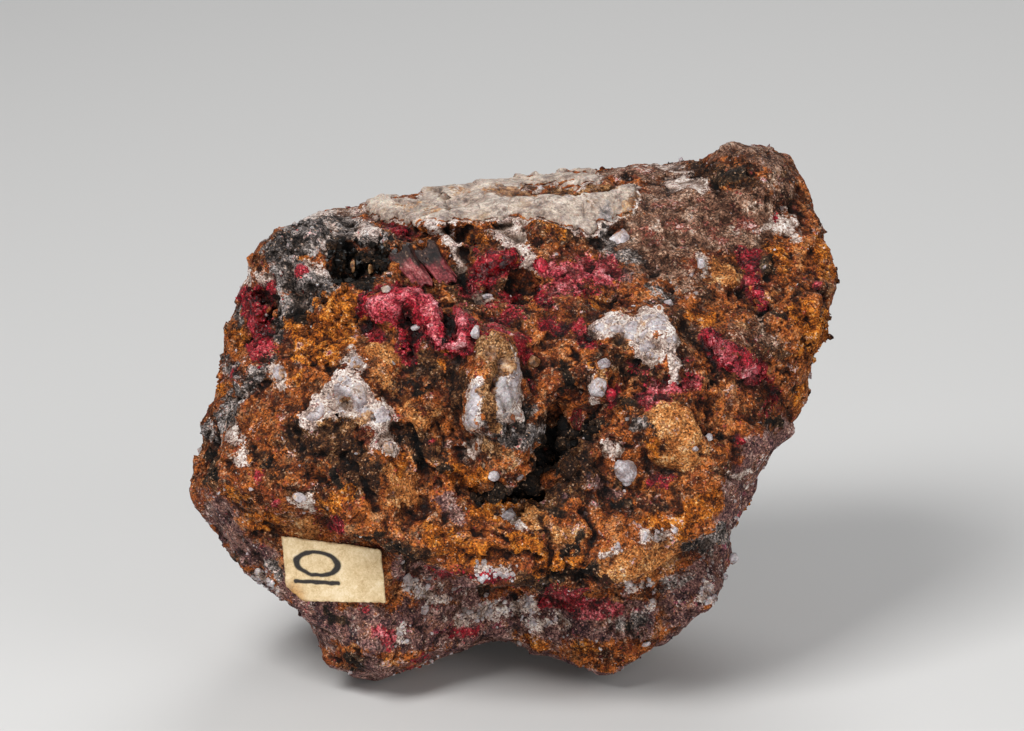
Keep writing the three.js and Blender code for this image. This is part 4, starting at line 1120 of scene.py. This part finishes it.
def rust_rim(tree, grain, under, reach):
    """Lays rust over a shell's colours near its rim, so that the edge that shows is ragged."""
    way_in = add_node(tree, "ShaderNodeAttribute", {"attribute_name": "way_in"}).outputs["Fac"]
    rim = weighed(tree, ((way_in, -1 / reach), (grain["spread"][2], 3.2), (grain["dust"], 0.9)), -1.1)
    return lay_over(tree, under, mineral_colour(tree, grain, 0, RUST), rim, 0.36, 0.64)


# Milky quartz: waxy and faintly clear, white to lilac grey, with rust along rims and cracks.
# Massive quartz, in the slab, is the same mineral with a cream iron tint and a duller face.
minerals = {}
for name, rim_reach, dullness, stops in (
    ("milky quartz", 0.75, 0.12,
     ((0.2, "#6c5d5d"), (0.36, "#8c8081"), (0.5, "#a69d9f"), (0.64, "#b4acae"), (0.85, "#c8c2c3"))),
    ("massive quartz", 0.35, 0.4,
     ((0.15, "#5c4c43"), (0.34, "#86756a"), (0.5, "#a99a8e"), (0.68, "#c5b7a9"), (0.88, "#dacfc0"))),
):
    minerals[name], tree = new_material(name)
    grain = grain_patterns(tree, coarse=2.6, fine=0.5)
    colour = lay_stains(tree, grain, mineral_colour(tree, grain, 0, stops), (
        (3.3, 0.6, "#a88a66", 0.5),
        (1.3, 0.62, "#7d5430", 0.6),
        (2.1, 0.6, "#7b7076", 0.5),
        (0.7, 0.64, "#4d3a2c", 0.6),
    ))
    cracks = add_node(tree, "ShaderNodeTexVoronoi", {"feature": "DISTANCE_TO_EDGE"},
                      {"Vector": grain["shift"], "Scale": 1 / (CRACK_SPACING * MM)}).outputs["Distance"]
    cracked = weighed(tree, ((cracks, -1.0), (grain["spread"][2], 0.3)), -0.145)
    colour, _ = lay_over(tree, colour, linear("#5e4a3b"), cracked, 0.0, 0.03, 0.6)
    colour, _ = lay_mineral(tree, grain, colour, "grey", 2,
                            ((0.2, "#3c3634"), (0.4, "#6f6765"), (0.55, "#938a88"), (0.8, "#c8c0bd")))
    colour, _ = lay_mineral(tree, grain, colour, "stain", 1, STAIN)
    colour, rim_cover = rust_rim(tree, grain, colour, rim_reach)
    colour = speckled_with_painted_glints(tree, grain, colour, 0.25)
    # Painted shade: darker where the skin under the shell is hollow.
    hollow = add_node(tree, "ShaderNodeAttribute", {"attribute_name": "hollow"}).outputs["Fac"]
    colour = darkened(tree, colour, hollow, ((0.3, "#ffffff"), (0.55, "#efe9e4"), (0.8, "#8f7866")))
    roughness = weighed(tree, ((grain["dust"], 0.3), (rim_cover, 0.35), (grain["small"][2], 0.15)), dullness)
    relief = weighed(tree, ((grain["spread"][1], 1.6), (grain["dust"], 0.5), (grain["edge"], -0.3)))
    end_material(tree, {"Base Color": colour, "Roughness": roughness, "IOR": 1.54, "Subsurface Weight": 0.15,
                        "Subsurface Scale": 0.6 * MM}, relief, 0.6, 0.2)

for node, finish, top, feather, smoothing_times, relief_of in (
    ("quartz_slab", "massive quartz", 0.7, 0.4, 8, bedded),
    ("quartz_knob", "milky quartz", 0.1, 0.8, 0, conchoidal),
    ("quartz_patch_left", "milky quartz", 0.1, 0.8, 0, conchoidal),
    ("quartz_patch_right", "milky quartz", 0.1, 0.8, 0, beaded),
):
    shell = lift_shell(node + "_shell", piece_share[node], top, feather, smoothing_times, relief_of)
    shell.data.materials.append(minerals[finish])
    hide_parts(node)


# The cuprite crusts
# Red copper oxide grown as velvety and glassy crusts of tiny crystals: a curled ridge under the slab, a
# deep red mass beside it, a streak and a pocket on the right, and a flank crust on the left.
def druse(points):
    """A crust of small crystal faces."""
    tops, edge = chips(points, 0.8, 510)
    return 0.18 * tops + 0.18 * cloud(points, 1.6, 530) - 0.1 * np.exp(-((edge / 0.12) ** 2))


# Cuprite: adamantine deep red, glassy on fresh faces, rose pink where it is a velvet of fine hairs.
for name, dullness, shine, rim_reach, speckle_and_glint, bloom, stops in (
    ("velvety cuprite", 0.55, 0.15, 0.5, 0.7, 0.5,
     ((0.2, "#1e0406"), (0.36, "#5e0b14"), (0.5, "#9a1a2a"), (0.66, "#b43444"), (0.85, "#c4646e"))),
    ("ruby cuprite", 0.15, 0.25, 0.5, 0.2, 0.1,
     ((0.2, "#0e0102"), (0.38, "#2a0306"), (0.54, "#54060b"), (0.7, "#860c15"), (0.88, "#9e222a"))),
    ("crimson cuprite", 0.3, 0.3, 0.2, 0.4, 0.4,
     ((0.2, "#34060c"), (0.36, "#84101e"), (0.5, "#b81a32"), (0.66, "#d03c50"), (0.88, "#e2929a"))),
):
    minerals[name], tree = new_material(name)
    grain = grain_patterns(tree, coarse=0.9, fine=0.38)
    colour = mineral_colour(tree, grain, 0, stops)
    colour, _ = lay_mineral(tree, grain, colour, "velvet", 2, VELVET, 0.8)
    colour = lay_stains(tree, grain, colour, (
        (2.9, 0.59, "#3c2014", 0.75),
        (1.2, 0.66, "#b9a0a4", bloom),
        (1.7, 0.61, "#7d3a1c", 0.6),
    ))
    colour, rim_cover = rust_rim(tree, grain, colour, rim_reach)
    # Grains mottled, and a few painted as glints, by this strength.
    colour = speckled_with_painted_glints(tree, grain, colour, speckle_and_glint)
    # Painted shade: darker, down to near black, where the skin under the crust is hollow.
    hollow = add_node(tree, "ShaderNodeAttribute", {"attribute_name": "hollow"}).outputs["Fac"]
    colour = darkened(tree, colour, hollow,
                      ((0.3, "#ffffff"), (0.52, "#e4d8d8"), (0.75, "#6e4a4a"), (0.95, "#33181a")))
    glint = add_node(tree, "ShaderNodeMath", {"operation": "GREATER_THAN"},
                     {0: grain["small"][1], 1: 0.85}).outputs["Value"]
    roughness = weighed(tree, ((glint, -0.3), (grain["dust"], 0.3), (rim_cover, 0.2)), dullness)
    relief = weighed(tree, ((grain["spread"][1], 1.4), (grain["dust"], 0.5), (grain["edge"], -0.5),
                            (grain["small"][2], 0.3)))
    end_material(tree, {"Base Color": colour, "Roughness": roughness, "Specular IOR Level": shine},
                 relief, 0.7, 0.18)

for node, finish, top in (
    ("cuprite_curl", "velvety cuprite", 0.15),
    ("cuprite_ruby", "ruby cuprite", 0.2),
    ("cuprite_streak", "crimson cuprite", 0.1),
    ("cuprite_pocket", "crimson cuprite", 0.1),
    ("cuprite_flank", "ruby cuprite", 0.1),
):
    shell = lift_shell(node + "_crust", piece_share[node], top, 0.9, 1, druse)
    shell.data.materials.append(minerals[finish])
    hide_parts(node)


# The two cuprite blocks
# Stout flat-faced crystals, side by side under the slab, cleaved and dull: pinkish brown faces with worn
# edges, darker towards their upper ends, which go into the rock.
BLOCK_TURN = math.radians(36)
WORN_EDGE = 0.12
BLOCK_CUTS = 11
lean = Matrix.Rotation(-FACE_LEAN, 3, "X")
block_turn = (lean @ Matrix.Rotation(-BLOCK_TURN, 3, "Y")).to_euler()

# Cleaved cuprite: satin faces, pinkish brown with fine growth lines, near black towards the upper end.
# The real lines are finer, and are drawn this coarse so that they show.
GROWTH_LINES = (0.35 * MM, 4 * MM, 4 * MM)
cleaved, tree = new_material("cleaved cuprite")
grain = grain_patterns(tree, coarse=0.8, fine=0.3)
colour = mineral_colour(tree, grain, 0, ((0.2, "#3a0f16"), (0.4, "#6c2228"), (0.55, "#8f3e40"),
                                         (0.75, "#ae6664"), (0.9, "#c8928c")))
lines_place = add_node(tree, "ShaderNodeMapping", {"vector_type": "TEXTURE"},
                       {"Vector": grain["place"], "Rotation": block_turn, "Scale": GROWTH_LINES})
growth = add_node(tree, "ShaderNodeTexNoise",
                  links={"Vector": lines_place.outputs["Vector"], "Scale": 1.0, "Detail": 4.0}).outputs["Fac"]
colour = darkened(tree, colour, growth, ((0.3, "#5a4444"), (0.46, "#d0c4c4"), (0.6, "#ffffff")))
# Near black towards the upper end of each block.
colour, _ = lay_mineral(tree, grain, colour, "buried", 1,
                        ((0.2, "#0a0606"), (0.5, "#261613"), (0.8, "#4e3830")), soft=0.3)
colour = speckled_with_painted_glints(tree, grain, colour, 0.3)
relief = weighed(tree, ((growth, 2.0), (grain["spread"][1], 0.8), (grain["dust"], 0.5)))
end_material(tree, {"Base Color": colour, "Roughness": 0.42, "Specular IOR Level": 0.3}, relief, 0.5, 0.12)

for node in BLOCKS:
    block = copy_of(node, node + "_crystal")
    worn = block.modifiers.new("worn edges", "BEVEL")
    worn.width = WORN_EDGE * MM
    worn.segments = 1
    bpy.ops.object.modifier_apply(modifier="worn edges")
    bpy.ops.object.mode_set(mode="EDIT")
    bpy.ops.mesh.select_all(action="SELECT")
    bpy.ops.mesh.quads_convert_to_tris()
    bpy.ops.mesh.subdivide(number_cuts=BLOCK_CUTS)
    bpy.ops.object.mode_set(mode="OBJECT")
    block_points = points_of(block)
    from_middle = to_face(block_points) - to_face(block_points).mean(axis=0)
    along = from_middle[:, 2] * math.cos(BLOCK_TURN) - from_middle[:, 0] * math.sin(BLOCK_TURN)
    aside = from_middle[:, 0] * math.cos(BLOCK_TURN) + from_middle[:, 2] * math.sin(BLOCK_TURN)
    narrowed = -aside * (0.3 * ease(0.5, -3, along) + 0.12 * cloud(block_points, 2.2, 580))
    aside_way = np.array(lean @ Vector((math.cos(BLOCK_TURN), 0, math.sin(BLOCK_TURN))))
    along_way = np.array(lean @ Vector((-math.sin(BLOCK_TURN), 0, math.cos(BLOCK_TURN))))
    corner = 0.24 * ease(0.25, 0.75, np.abs(aside * along) / (np.abs(aside).max() * np.abs(along).max()))
    squared = (corner * aside)[:, None] * aside_way + (corner * along)[:, None] * along_way
    tops, _ = chips(block_points, 2.3, 570)
    nicks = 0.3 * tops + 0.1 * cloud(block_points, 1.2, 560) + 0.05 * cloud(block_points, 0.5, 563)
    moved = block_points + normals_of(block) * nicks[:, None] + narrowed[:, None] * aside_way
    move_points(block, moved + squared)
    rise = (block_points[:, 2] - block_points[:, 2].min()) / np.ptp(block_points[:, 2])
    mark(block, "buried", ease(0.45, 0.95, rise + 0.2 * cloud(block_points, 1.5, 566)))
    bpy.ops.object.shade_smooth_by_angle(angle=math.radians(30))
    block.data.materials.append(cleaved)
    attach(block, "root")
    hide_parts(node)


# The number slip
# A small slip of aged paper glued to the lower left of the face, with a number in ink turned on its side.
# Its lower left corner is torn off, its top edge is frayed and its corners have lifted a little.
SLIP_LEFT = ((0.0, (-4.3, -4.6)), (0.25, (-6.7, -2.5)), (1.0, (-7.3, 4.5)))
SLIP_RIGHT = ((0.0, (7.3, -3.8)), (1.0, (6.7, 3.9)))
SLIP_CORNERS_MEAN = np.array((-0.86, -0.5))
SLIP_SIZE = np.array((14.0, 8.5))
SLIP_GRID = (150, 90)
SLIP_LIFT = 0.25
PAPER_THICKNESS = 0.16
INK_BAR = {"ends": ((-5.3, -1.75), (0.6, -1.6)), "half_width": 0.3}
INK_RING = {"middle": (-2.3, 1.0), "radii": (2.9, 1.65), "half_width": 0.27}


def unit(way):
    """The same direction with a length of 1."""
    return way / math.sqrt(way @ way)


def slip_edge(stops, heights):
    """Points along one side edge of the slip, at shares of its height."""
    shares = [share for share, _ in stops]
    return np.stack([np.interp(heights, shares, [corner[axis] for _, corner in stops]) for axis in range(2)],
                    axis=1)


slip_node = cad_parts["number_slip"]
slip_faces = [face for face in slip_node.data.polygons if face.normal.y < 0]
slip_out = np.array(max(slip_faces, key=lambda face: face.area).normal)
slip_right = unit(np.array((1.0, 0, 0)) - slip_out * slip_out[0])
slip_up = np.cross(slip_out, slip_right)
slip_mean = np.mean([np.array(vertex.co) for vertex in slip_node.data.vertices], axis=0) / MM
slip_origin = slip_mean - slip_right * SLIP_CORNERS_MEAN[0] - slip_up * SLIP_CORNERS_MEAN[1]
bpy.ops.object.select_all(action="DESELECT")
bpy.ops.mesh.primitive_grid_add(x_subdivisions=SLIP_GRID[0], y_subdivisions=SLIP_GRID[1], size=1)
slip = bpy.context.object
slip.name = "paper_slip"
square = points_of(slip)[:, :2] * MM + 0.5
left = slip_edge(SLIP_LEFT, square[:, 1])
right = slip_edge(SLIP_RIGHT, square[:, 1])
flat = left + (right - left) * square[:, :1]
spots = np.column_stack((flat, np.zeros(len(flat))))
to_edge = (np.minimum(square, 1 - square) * SLIP_SIZE).min(axis=1)
ragged = np.column_stack((cloud(spots, 0.5, 611), cloud(spots, 0.5, 613))) * 0.09
fray = ease(0.6, 0, to_edge)[:, None] * ragged
curl = 0.35 * ease(4.5, 0, np.hypot(flat[:, 0] - 7, flat[:, 1] - 4.2))
curl += 0.3 * ease(4, 0, np.hypot(flat[:, 0] + 6.5, flat[:, 1] + 3))
curl += 0.06 * cloud(spots, 3.5, 615) + 0.02 * cloud(spots, 1.0, 617)
in_plane = flat + fray
slip_points = slip_origin + in_plane[:, :1] * slip_right + in_plane[:, 1:] * slip_up
move_points(slip, slip_points + slip_out * (SLIP_LIFT + curl)[:, None])
wobble = np.column_stack((cloud(spots, 0.9, 621), cloud(spots, 0.9, 623))) * 0.12
written = flat + wobble
bar = way_to_path(written, INK_BAR["ends"]) - INK_BAR["half_width"]
ring = (written - INK_RING["middle"]) / INK_RING["radii"]
ring = np.abs(np.hypot(ring[:, 0], ring[:, 1]) - 1) * INK_RING["radii"][1] - INK_RING["half_width"]
mark(slip, "ink", ease(0.1, -0.06, np.minimum(bar, ring)))
mark(slip, "to_edge", to_edge)
mark(slip, "torn", ease(4.2, 0.6, np.hypot(flat[:, 0] + 6, flat[:, 1] + 3.8)))
paper_wall = slip.modifiers.new("paper", "SOLIDIFY")
paper_wall.thickness = PAPER_THICKNESS * MM
paper_wall.offset = -1
bpy.ops.object.modifier_apply(modifier="paper")
bpy.ops.object.shade_smooth_by_angle(angle=math.radians(40))

# Aged paper: matt, yellowed, with fibre specks, browner along its edges and at the torn corner.
paper, tree = new_material("aged paper")
grain = grain_patterns(tree, coarse=1.2, fine=0.25)
colour = mineral_colour(tree, grain, 0,
                        ((0.2, "#b79a6e"), (0.45, "#ceb58c"), (0.6, "#d8c199"), (0.85, "#e2cfb0")))
colour = lay_stains(tree, grain, colour, ((4.3, 0.6, "#c0a273", 0.6), (0.8, 0.68, "#8c6a40", 0.6)))
colour, _ = lay_mineral(tree, grain, colour, "torn", 1,
                        ((0.2, "#5e3a1a"), (0.5, "#a5763c"), (0.8, "#c79a5e")), 0.5, 0.45, 0.75)
edge_share = add_node(tree, "ShaderNodeAttribute", {"attribute_name": "to_edge"}).outputs["Fac"]
dirt = weighed(tree, ((edge_share, -1.6), (grain["spread"][2], 2.0)), -0.35)
colour, _ = lay_over(tree, colour, linear("#7a5730"), dirt, 0.2, 0.8, 0.8)
ink = add_node(tree, "ShaderNodeAttribute", {"attribute_name": "ink"}).outputs["Fac"]
INK = ((0.3, "#14110f"), (0.6, "#2c2622"), (0.75, "#4e443a"))
ink_colour = add_node(tree, "ShaderNodeValToRGB", {"stops": INK}, {"Fac": grain["dust"]}).outputs["Color"]
colour = add_node(tree, "ShaderNodeMix", {"data_type": "RGBA"}, {0: ink, 6: colour, 7: ink_colour}).outputs[2]
end_material(tree, {"Base Color": colour, "Roughness": 0.8}, grain["dust"], 0.3, 0.05)
slip.data.materials.append(paper)
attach(slip, "root")
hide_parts("number_slip")


# The grains
# Loose-looking crumbs and tiny crystals stuck all over the rock: rust crumbs, limonite fluff, cuprite
# octahedra and quartz grains. Each kind is one mesh of many small closed solids, sunk into the skin.
GOLDEN = (1 + math.sqrt(5)) / 2
# Each solid: its points, and its faces as numbers of points.
OCTAHEDRON = (
    np.array(((1, 0, 0), (-1, 0, 0), (0, 1, 0), (0, -1, 0), (0, 0, 1), (0, 0, -1)), float),
    np.array(((0, 2, 4), (2, 1, 4), (1, 3, 4), (3, 0, 4), (2, 0, 5), (1, 2, 5), (3, 1, 5), (0, 3, 5))),
)
CRUMB = (
    np.array([(-1, GOLDEN, 0), (1, GOLDEN, 0), (-1, -GOLDEN, 0), (1, -GOLDEN, 0), (0, -1, GOLDEN),
              (0, 1, GOLDEN), (0, -1, -GOLDEN), (0, 1, -GOLDEN), (GOLDEN, 0, -1), (GOLDEN, 0, 1),
              (-GOLDEN, 0, -1), (-GOLDEN, 0, 1)]) / math.hypot(1, GOLDEN),
    np.array(((0, 11, 5), (0, 5, 1), (0, 1, 7), (0, 7, 10), (0, 10, 11), (1, 5, 9), (5, 11, 4), (11, 10, 2),
              (10, 7, 6), (7, 1, 8), (3, 9, 4), (3, 4, 2), (3, 2, 6), (3, 6, 8), (3, 8, 9), (4, 9, 5),
              (2, 4, 11), (6, 2, 10), (8, 6, 7), (9, 8, 1))),
)
# Grains are never so low that they go under the floor.
LOWEST_GRAIN = 0.01


def strew(name, weight, count, size, solid, jitter, sink, seed, material):
    """Many small closed solids in one mesh, strewn over the skin where the weight is high."""
    shape, faces = solid
    draw = np.random.default_rng(seed)
    corners = skin_points[skin_quads]
    across = np.cross(corners[:, 2] - corners[:, 0], corners[:, 3] - corners[:, 1])
    chance = np.sqrt((across ** 2).sum(axis=1)) * weight[skin_quads].mean(axis=1)
    picks = draw.choice(len(skin_quads), count, p=chance / chance.sum())
    one, two = draw.random((2, count, 1))
    spots = ((corners[picks, 0] * (1 - one) + corners[picks, 1] * one) * (1 - two)
             + (corners[picks, 3] * (1 - one) + corners[picks, 2] * one) * two)
    outward = skin_normals[skin_quads[picks, 0]]
    sizes = size * np.exp(draw.normal(0, 0.4, count))
    turn = draw.normal(size=(count, 4))
    turn /= np.sqrt((turn ** 2).sum(axis=1, keepdims=True))
    w, x, y, z = turn.T
    frames = np.stack((
        1 - 2 * (y * y + z * z), 2 * (x * y - w * z), 2 * (x * z + w * y),
        2 * (x * y + w * z), 1 - 2 * (x * x + z * z), 2 * (y * z - w * x),
        2 * (x * z - w * y), 2 * (y * z + w * x), 1 - 2 * (x * x + y * y),
    ), axis=1).reshape(-1, 3, 3)
    stretch = 1 + jitter * draw.normal(0, 0.5, (count, 1, 3))
    forms = shape * np.clip(1 + jitter * draw.normal(0, 0.5, (count, len(shape), 1)), 0.4, 1.7)
    forms = (forms * np.clip(stretch, 0.5, 1.6)) @ frames * sizes[:, None, None] / 2
    lift = sizes * (0.5 - sink) + np.maximum(crust_rise[skin_quads[picks, 0]], 0)
    points = (spots + outward * lift[:, None])[:, None] + forms
    points[..., 2] = np.maximum(points[..., 2], LOWEST_GRAIN)
    numbered = faces + (np.arange(count) * len(shape))[:, None, None]
    mesh = bpy.data.meshes.new(name)
    mesh.from_pydata(points.reshape(-1, 3) * MM, [], numbered.reshape(-1, 3).tolist())
    piece = bpy.data.objects.new(name, mesh)
    bpy.context.scene.collection.objects.link(piece)
    for zone, share in zones.items():
        mark(piece, zone, np.repeat(share[skin_quads[picks, 0]], len(shape)))
    mark(piece, "tint", np.repeat(draw.random(count), len(shape)))
    mark(piece, "way_in", np.full(count * len(shape), 3.0))
    piece.data.materials.append(material)
    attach(piece, "root")
    return piece


front = ease(-0.1, 0.3, towards_viewer)
open_red = 1 - np.maximum.reduce([0.85 * piece_share["cuprite_ruby"], 0.85 * piece_share["cuprite_flank"],
                                  0.9 * zones["velvet"]])
bare = (1 - zones["quartz"]) * (1 - 0.8 * zones["slope"]) * (1 - near_slip) * (1 - 0.7 * zones["tan"])
crumbly = bare * (0.1 + 0.9 * front) * crumbling * resting
rust_crumbs = strew("rust_crumbs", crumbly, 2600, 0.38, CRUMB, 0.6, 0.55, 71, gossan)
fluffy = zones["limonite"] ** 2 * resting
limonite_fluff = strew("limonite_fluff", fluffy, 2600, 0.34, CRUMB, 0.8, 0.3, 72, gossan)
red_ground = zones["cuprite"] ** 1.5 * (1 - zones["dark"]) * open_red
cuprite_grains = strew("cuprite_grains", red_ground, 3000, 0.25, OCTAHEDRON, 0.4, 0.5, 73,
                       minerals["velvety cuprite"])
pale_ground = (zones["clay"] * 0.6 + zones["slope"] * 0.5 + zones["grey"] * 0.5 + 0.08) * bare * resting
quartz_grains = strew("quartz_grains", pale_ground, 900, 0.34, CRUMB, 0.6, 0.42, 74, minerals["milky quartz"])

# Larger quartz crumbs in clusters along the lip and over the shelf.
final_face = to_face(skin_points)
on_lip = zones["quartz"] * ease(-12, -18, final_face[:, 2]) * front
quartz_crumbs = strew("quartz_crumbs", on_lip, 340, 0.52, CRUMB, 0.34, 0.5, 77, minerals["milky quartz"])

# Goethite: black, glossy, blocky crystals that line the vug.
VUG_MIDDLE = (-21.4, 20.6)
goethite, tree = new_material("goethite")
grain = grain_patterns(tree, coarse=0.9, fine=0.3)
colour = mineral_colour(tree, grain, 0, ((0.2, "#030303"), (0.5, "#0b0a09"), (0.8, "#241f1a")))
end_material(tree, {"Base Color": colour, "Roughness": 0.42, "Specular IOR Level": 0.35})
final_places = seen_on_face(final_face)
from_vug = np.hypot(*(final_places - VUG_MIDDLE).T)
round_vug = ease(5.6, 3.6, from_vug) * ease(4, -2, final_face[:, 1]) * zones["dark"]
goethite_crystals = strew("goethite_crystals", round_vug, 280, 0.62, OCTAHEDRON, 0.5, 0.45, 75, goethite)

# Rubble that hangs in the mouth of the cave and along the crevice under the knob.
CAVE_MOUTH = ((8, -1.6), (6.4, -5), (4.4, -8.6), (1.4, -11.2), (-4.6, -12.4))
round_cave = ease(3.4, 1.4, way_to_path(final_places, CAVE_MOUTH)) * front
cave_rubble = strew("cave_rubble", round_cave, 230, 1.1, CRUMB, 0.35, 0.45, 79, gossan)


# The chips
# Single larger crystals set in the rock: white and lilac quartz beads and splinters, an amber drop and two
# crimson cuprite crystals. Each was broken free on its outer side, so it has a few flat faces.
# For each: what it is, place on the face, half sizes across, up and out, turn in degrees, how stained.
CHIPS = {
    "milky quartz": (
        ("bead under the nodule", (15.2, -8.4), (1.5, 1.8, 1.1), 20, 0.1),
        ("small bead", (15.8, -10.4), (0.7, 0.7, 0.5), 0, 0.2),
        ("bead beside the nodule", (26.9, -3.8), (0.65, 0.65, 0.5), 0, 0.0),
        ("chip on the nodule", (25.3, -5.7), (0.5, 0.4, 0.3), 30, 0.2),
        ("spot right of the slab", (14.7, 24), (1.7, 1.4, 0.45), 30, 0.1),
        ("chip over the right patch", (21.5, 14.8), (0.7, 0.6, 0.5), 0, 0.1),
        ("slope chip", (26.1, 20.2), (0.6, 1.0, 0.5), 10, 0.1),
        ("drop", (11.2, 2.7), (1.1, 1.6, 0.9), -20, 0.3),
        ("chip over the drop", (11.9, 6.4), (1.0, 0.8, 0.6), 30, 0.1),
        ("amber drop", (2.7, 6.7), (1.0, 0.9, 0.7), 0, 0.8),
        ("splinter in the curl", (-14.3, 10.9), (0.8, 0.4, 0.35), 25, 0.0),
        ("chip in the cup", (-5.3, 10.4), (0.75, 0.95, 0.5), 0, 0.1),
        ("chip by the blocks", (-18.4, 16.6), (0.8, 0.7, 0.5), 40, 0.1),
        ("chip under the lens", (-4.2, 15.8), (0.9, 0.45, 0.4), 10, 0.2),
        ("bead under the knob", (-3.1, -9.3), (0.8, 0.7, 0.6), 0, 0.0),
        ("edge bead", (31.2, -21), (0.8, 0.9, 0.7), 20, 0.0),
        ("lower edge bead", (30, -23.1), (0.5, 0.5, 0.4), 0, 0.0),
        ("bottom splinter", (17.6, -33), (0.7, 0.4, 0.4), 20, 0.0),
        ("chip on the dome rim", (-33.2, 5), (0.9, 1.1, 0.6), 10, 0.3),
        ("beige lump", (-22.3, 6.5), (1.2, 0.9, 0.7), 20, 0.5),
        ("chip on the tan lump", (-17.8, -5), (1.1, 0.9, 0.6), -30, 0.3),
        ("chip on the dome", (-30, -12.9), (1.0, 0.7, 0.5), -20, 0.3),
        ("left column in the vug", (-22.9, 19.4), (0.4, 1.0, 0.5), 5, 0.95),
        ("right column in the vug", (-20.5, 19.4), (0.4, 0.8, 0.5), -5, 0.95),
    ),
    "crimson cuprite": (
        ("pink gem", (13.4, 1.7), (0.75, 1.1, 0.6), 30, 0.0),
        ("crimson crystal", (3.4, 19.8), (0.8, 1.2, 0.6), 10, 0.0),
    ),
}
CHIP_FACES = 9
CHIP_SINK = 0.25

chip_draw = np.random.default_rng(91)
facing = np.nonzero(towards_viewer > 0.15)[0]
face_out = np.array(lean @ Vector((0, -1, 0)))
face_up = np.array(lean @ Vector((0, 0, 1)))
for finish, chip_rows in CHIPS.items():
    mineral = finish.split()[1]
    made = []
    for _, place, half, turn, stained in chip_rows:
        reach = np.hypot(*(final_places[facing] - place).T)
        close = facing[reach < max(0.5, reach.min() + 0.2)]
        spot = close[np.argmin(final_face[close, 1])]
        outward = unit(skin_normals[spot] + 0.6 * face_out)
        across = unit(np.cross(face_up, outward))
        upward = np.cross(outward, across)
        angle = math.radians(turn)
        across, upward = (across * math.cos(angle) + upward * math.sin(angle),
                          upward * math.cos(angle) - across * math.sin(angle))
        bpy.ops.object.select_all(action="DESELECT")
        bpy.ops.mesh.primitive_ico_sphere_add(subdivisions=4, radius=1)
        chip = bpy.context.object
        ball = points_of(chip) * MM
        for _ in range(CHIP_FACES):
            way = unit(chip_draw.normal(size=3))
            beyond = np.maximum(ball @ way - chip_draw.uniform(0.62, 0.9), 0)
            ball -= beyond[:, None] * way
        ball *= 1 + 0.05 * cloud(ball * 3, 1.0, 95)[:, None]
        local = ball * half
        local[:, 2] += half[2] * CHIP_SINK
        spread_out = local[:, :1] * across + local[:, 1:2] * upward + local[:, 2:] * outward
        seat = skin_points[spot] + skin_normals[spot] * max(crust_rise[spot], 0)
        move_points(chip, seat + spread_out)
        mark(chip, "way_in", 3 * ease(-0.3, 0.8, ball[:, 2] + 0.3 * cloud(ball * 3, 1.2, 97)))
        # Painted shade: the hollow mark darkens each chip towards its seated side, where it meets the rock.
        mark(chip, "hollow", 0.3 + 0.35 * ease(0.5, -0.3, ball[:, 2]))
        mark(chip, "stain", np.maximum(stained, ease(0.1, -0.5, ball[:, 2])))
        made.append(chip)
    pick(*made[1:], made[0])
    bpy.ops.object.join()
    chips_piece = bpy.context.object
    chips_piece.name = mineral + "_chips"
    bpy.ops.object.shade_smooth_by_angle(angle=math.radians(25))
    chips_piece.data.materials.append(minerals[finish])
    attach(chips_piece, "root")


# The studio
# A plain pale floor under soft light: a large key light above on the left, a weaker one on the right, a low
# one in front and a rim light behind, with the camera at the leaning face's own angle. All in metres.
FLOOR_SIZE = 6.0
FLOOR_DROP = 0.0002
floor_material, tree = new_material("pale floor")
end_material(tree, {"Base Color": linear("#c9c8c6"), "Roughness": 0.6})
bpy.ops.object.select_all(action="DESELECT")
bpy.ops.mesh.primitive_plane_add(size=FLOOR_SIZE, location=(0, 0, -FLOOR_DROP))
floor = bpy.context.object
floor.name = "pale_floor"
floor.data.materials.append(floor_material)

world = bpy.data.worlds.new("studio")
bpy.context.scene.world = world
world.use_nodes = True
world.node_tree.nodes["Background"].inputs["Color"].default_value = linear("#dfe3ea")
world.node_tree.nodes["Background"].inputs["Strength"].default_value = 0.2
middle = Vector((0, 0, 0.035))
for name, place, size, power in (
    ("key", (-0.28, -0.30, 0.55), 0.30, 4.4),
    ("fill", (0.45, -0.35, 0.30), 0.40, 1.2),
    ("front", (0.03, -0.60, 0.03), 0.30, 2.0),
    ("rim", (0.10, 0.45, 0.50), 0.35, 1.6),
):
    light_data = bpy.data.lights.new(name, "AREA")
    light_data.size = size
    light_data.energy = power
    light = bpy.data.objects.new(name, light_data)
    light.location = place
    light.rotation_euler = (middle - Vector(place)).to_track_quat("-Z", "Y").to_euler()
    bpy.context.scene.collection.objects.link(light)

LENS = 180.0
SENSOR = 36.0
right = Vector((1, 0, 0))
up = Vector((0, math.sin(FACE_LEAN), math.cos(FACE_LEAN)))
forward = Vector((0, math.cos(FACE_LEAN), -math.sin(FACE_LEAN)))
aim = Vector(FACE_MIDDLE) + right * float(VIEW_AXIS[0]) + up * float(VIEW_AXIS[1])
camera_data = bpy.data.cameras.new("camera")
camera_data.lens = LENS
camera_data.sensor_width = SENSOR
camera_data.clip_start = 0.01
camera = bpy.data.objects.new("camera", camera_data)
camera.location = (aim - forward * VIEW_DISTANCE) * MM
camera.rotation_euler = forward.to_track_quat("-Z", "Y").to_euler()
bpy.context.scene.collection.objects.link(camera)
bpy.context.scene.camera = camera
bpy.context.scene.view_settings.view_transform = "Standard"
